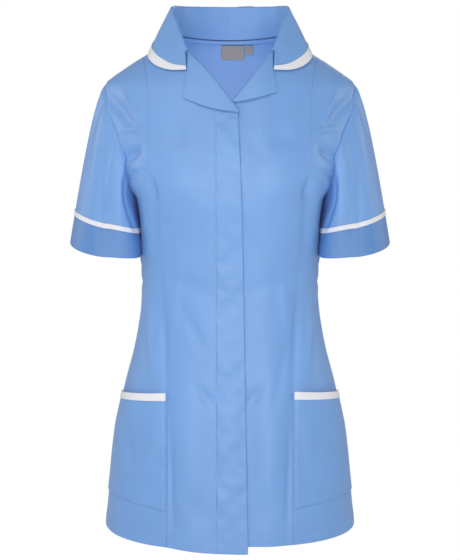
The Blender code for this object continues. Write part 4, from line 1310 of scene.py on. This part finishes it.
def make_lapel(name, base_sink):
    on_fold, past_fold = fine(0, LAPEL_FOLD_SHARE, 18), fine(LAPEL_FOLD_SHARE, 1, 40, edge=0.01)
    across = np.unique(np.concatenate([on_fold, past_fold]))
    face = lapel_face(LAPELS[name], fine(LAPEL_START, 1, 56, edge=0.006)[:, None], across[None, :], base_sink)
    normal = unit(np.cross(np.gradient(face, axis=1), np.gradient(face, axis=0)))
    facing_back = normal[len(face) // 2, -10, 1] > 0
    normal = -normal if facing_back else normal
    piece = cloth(f"lapel_{name}_cloth", face, normal, CLOTH, BLUE)
    sewn_on(piece, f"lapel_{name}", "tunic_cloth", **cut(face, "folded", rests_on=[f"front_{name}_cloth"]))


def make_neck_tape():
    rows = np.linspace(BACK_ROWS, BACK_ROWS - NECK_TAPE_ROWS, 7)[:, None]
    columns = np.linspace(NECK_TAPE_ENDS, 2 * BACK_HALF - NECK_TAPE_ENDS, 120)
    face = back_place(rows, columns[None, :], -CLOTH - NECK_TAPE_GAP)
    inward = -outward(face, NECK_CENTRE)
    piece = cloth("neck_tape_cloth", face + inward * TAPE, inward, TAPE, BLUE)
    sewn_on(piece, "neck_tape", "tunic_cloth", **cut(face, "laid", rests_on=["back_cloth"]))


def make_labels():
    for node, at in LABELS.items():
        across = fine(at["left"], at["right"], 24, edge=0.3)[None, :] * MM
        height = fine(at["bottom"], at["top"], 16, edge=0.3)[:, None] * MM
        across, height = np.broadcast_arrays(across, height)
        face = skin(back_angle(across, height), height, -CLOTH - LABEL_GAP)
        inward = -outward(face, NECK_CENTRE)
        piece = cloth(f"neck_{node}", face + inward * LABEL_CLOTH, inward, LABEL_CLOTH, LABEL)
        sewn_on(piece, node, "label_tape", **cut(face, "laid", rests_on=["back_cloth"]))


make_front_right()
make_front_left()
for side, name in ((-1, "right"), (1, "left")):
    make_side_front(side, name)
    make_pocket(side, name)
    make_sleeve(side, name)
make_back()
make_collar()
make_lapel("right", no_sink)
make_lapel("left", under_sink)
make_neck_tape()
make_labels()
sewn_on(stitches("topstitching", thread_runs, BLUE_THREAD), None, "tunic_cloth")
sewn_on(stitches("band_topstitching", white_runs, WHITE_THREAD), None, "white_band")


# Studio

def aimed(name, data, place, at):
    made = bpy.data.objects.new(name, data)
    made.location = place
    made.rotation_euler = (Vector(at) - Vector(place)).to_track_quat("-Z", "Y").to_euler()
    bpy.context.scene.collection.objects.link(made)
    return made


def make_floor():
    data = bpy.data.meshes.new("studio_floor")
    work = bmesh.new()
    bmesh.ops.create_circle(work, cap_ends=True, segments=96, radius=FLOOR_RADIUS,
                            matrix=Matrix.Translation((0, 0, FLOOR)))
    work.to_mesh(data)
    work.free()
    pale = bpy.data.materials.new("pale_floor")
    pale.use_nodes = True
    shader = pale.node_tree.nodes["Principled BSDF"]
    shader.inputs["Base Color"].default_value = FLOOR_COLOUR
    shader.inputs["Roughness"].default_value = 0.9
    shader.inputs["Emission Color"].default_value = (1, 1, 1, 1)
    shader.inputs["Emission Strength"].default_value = FLOOR_GLOW
    data.materials.append(pale)
    floor = bpy.data.objects.new("studio_floor", data)
    bpy.context.scene.collection.objects.link(floor)


def make_light():
    """White walls all round, which light the cloth softly and look pure white, and the studio's lamps."""
    world = bpy.data.worlds.new("studio")
    world.use_nodes = True
    nodes, links = world.node_tree.nodes, world.node_tree.links
    walls = nodes["Background"]
    walls.inputs["Color"].default_value = (1, 1, 1, 1)
    walls.inputs["Strength"].default_value = WALL_LIGHT
    seen = nodes.new("ShaderNodeBackground")
    seen.inputs["Color"].default_value = (1, 1, 1, 1)
    either = nodes.new("ShaderNodeMixShader")
    links.new(nodes.new("ShaderNodeLightPath").outputs["Is Camera Ray"], either.inputs[0])
    links.new(walls.outputs[0], either.inputs[1])
    links.new(seen.outputs[0], either.inputs[2])
    links.new(either.outputs[0], nodes["World Output"].inputs["Surface"])
    bpy.context.scene.world = world
    bpy.context.scene.view_settings.view_transform = "Standard"
    for name, place, at, energy, size in LAMPS:
        lamp = bpy.data.lights.new(name, "AREA")
        lamp.energy = energy
        lamp.size = size
        aimed(name, lamp, place, at)


def make_camera():
    lens = bpy.data.cameras.new("camera")
    lens.lens = CAMERA["lens"]
    lens.sensor_width = CAMERA["sensor"]
    bpy.context.scene.camera = aimed("camera", lens, CAMERA["place"], CAMERA["aimed_at"])


make_floor()
make_light()
make_camera()
bpy.context.view_layer.update()
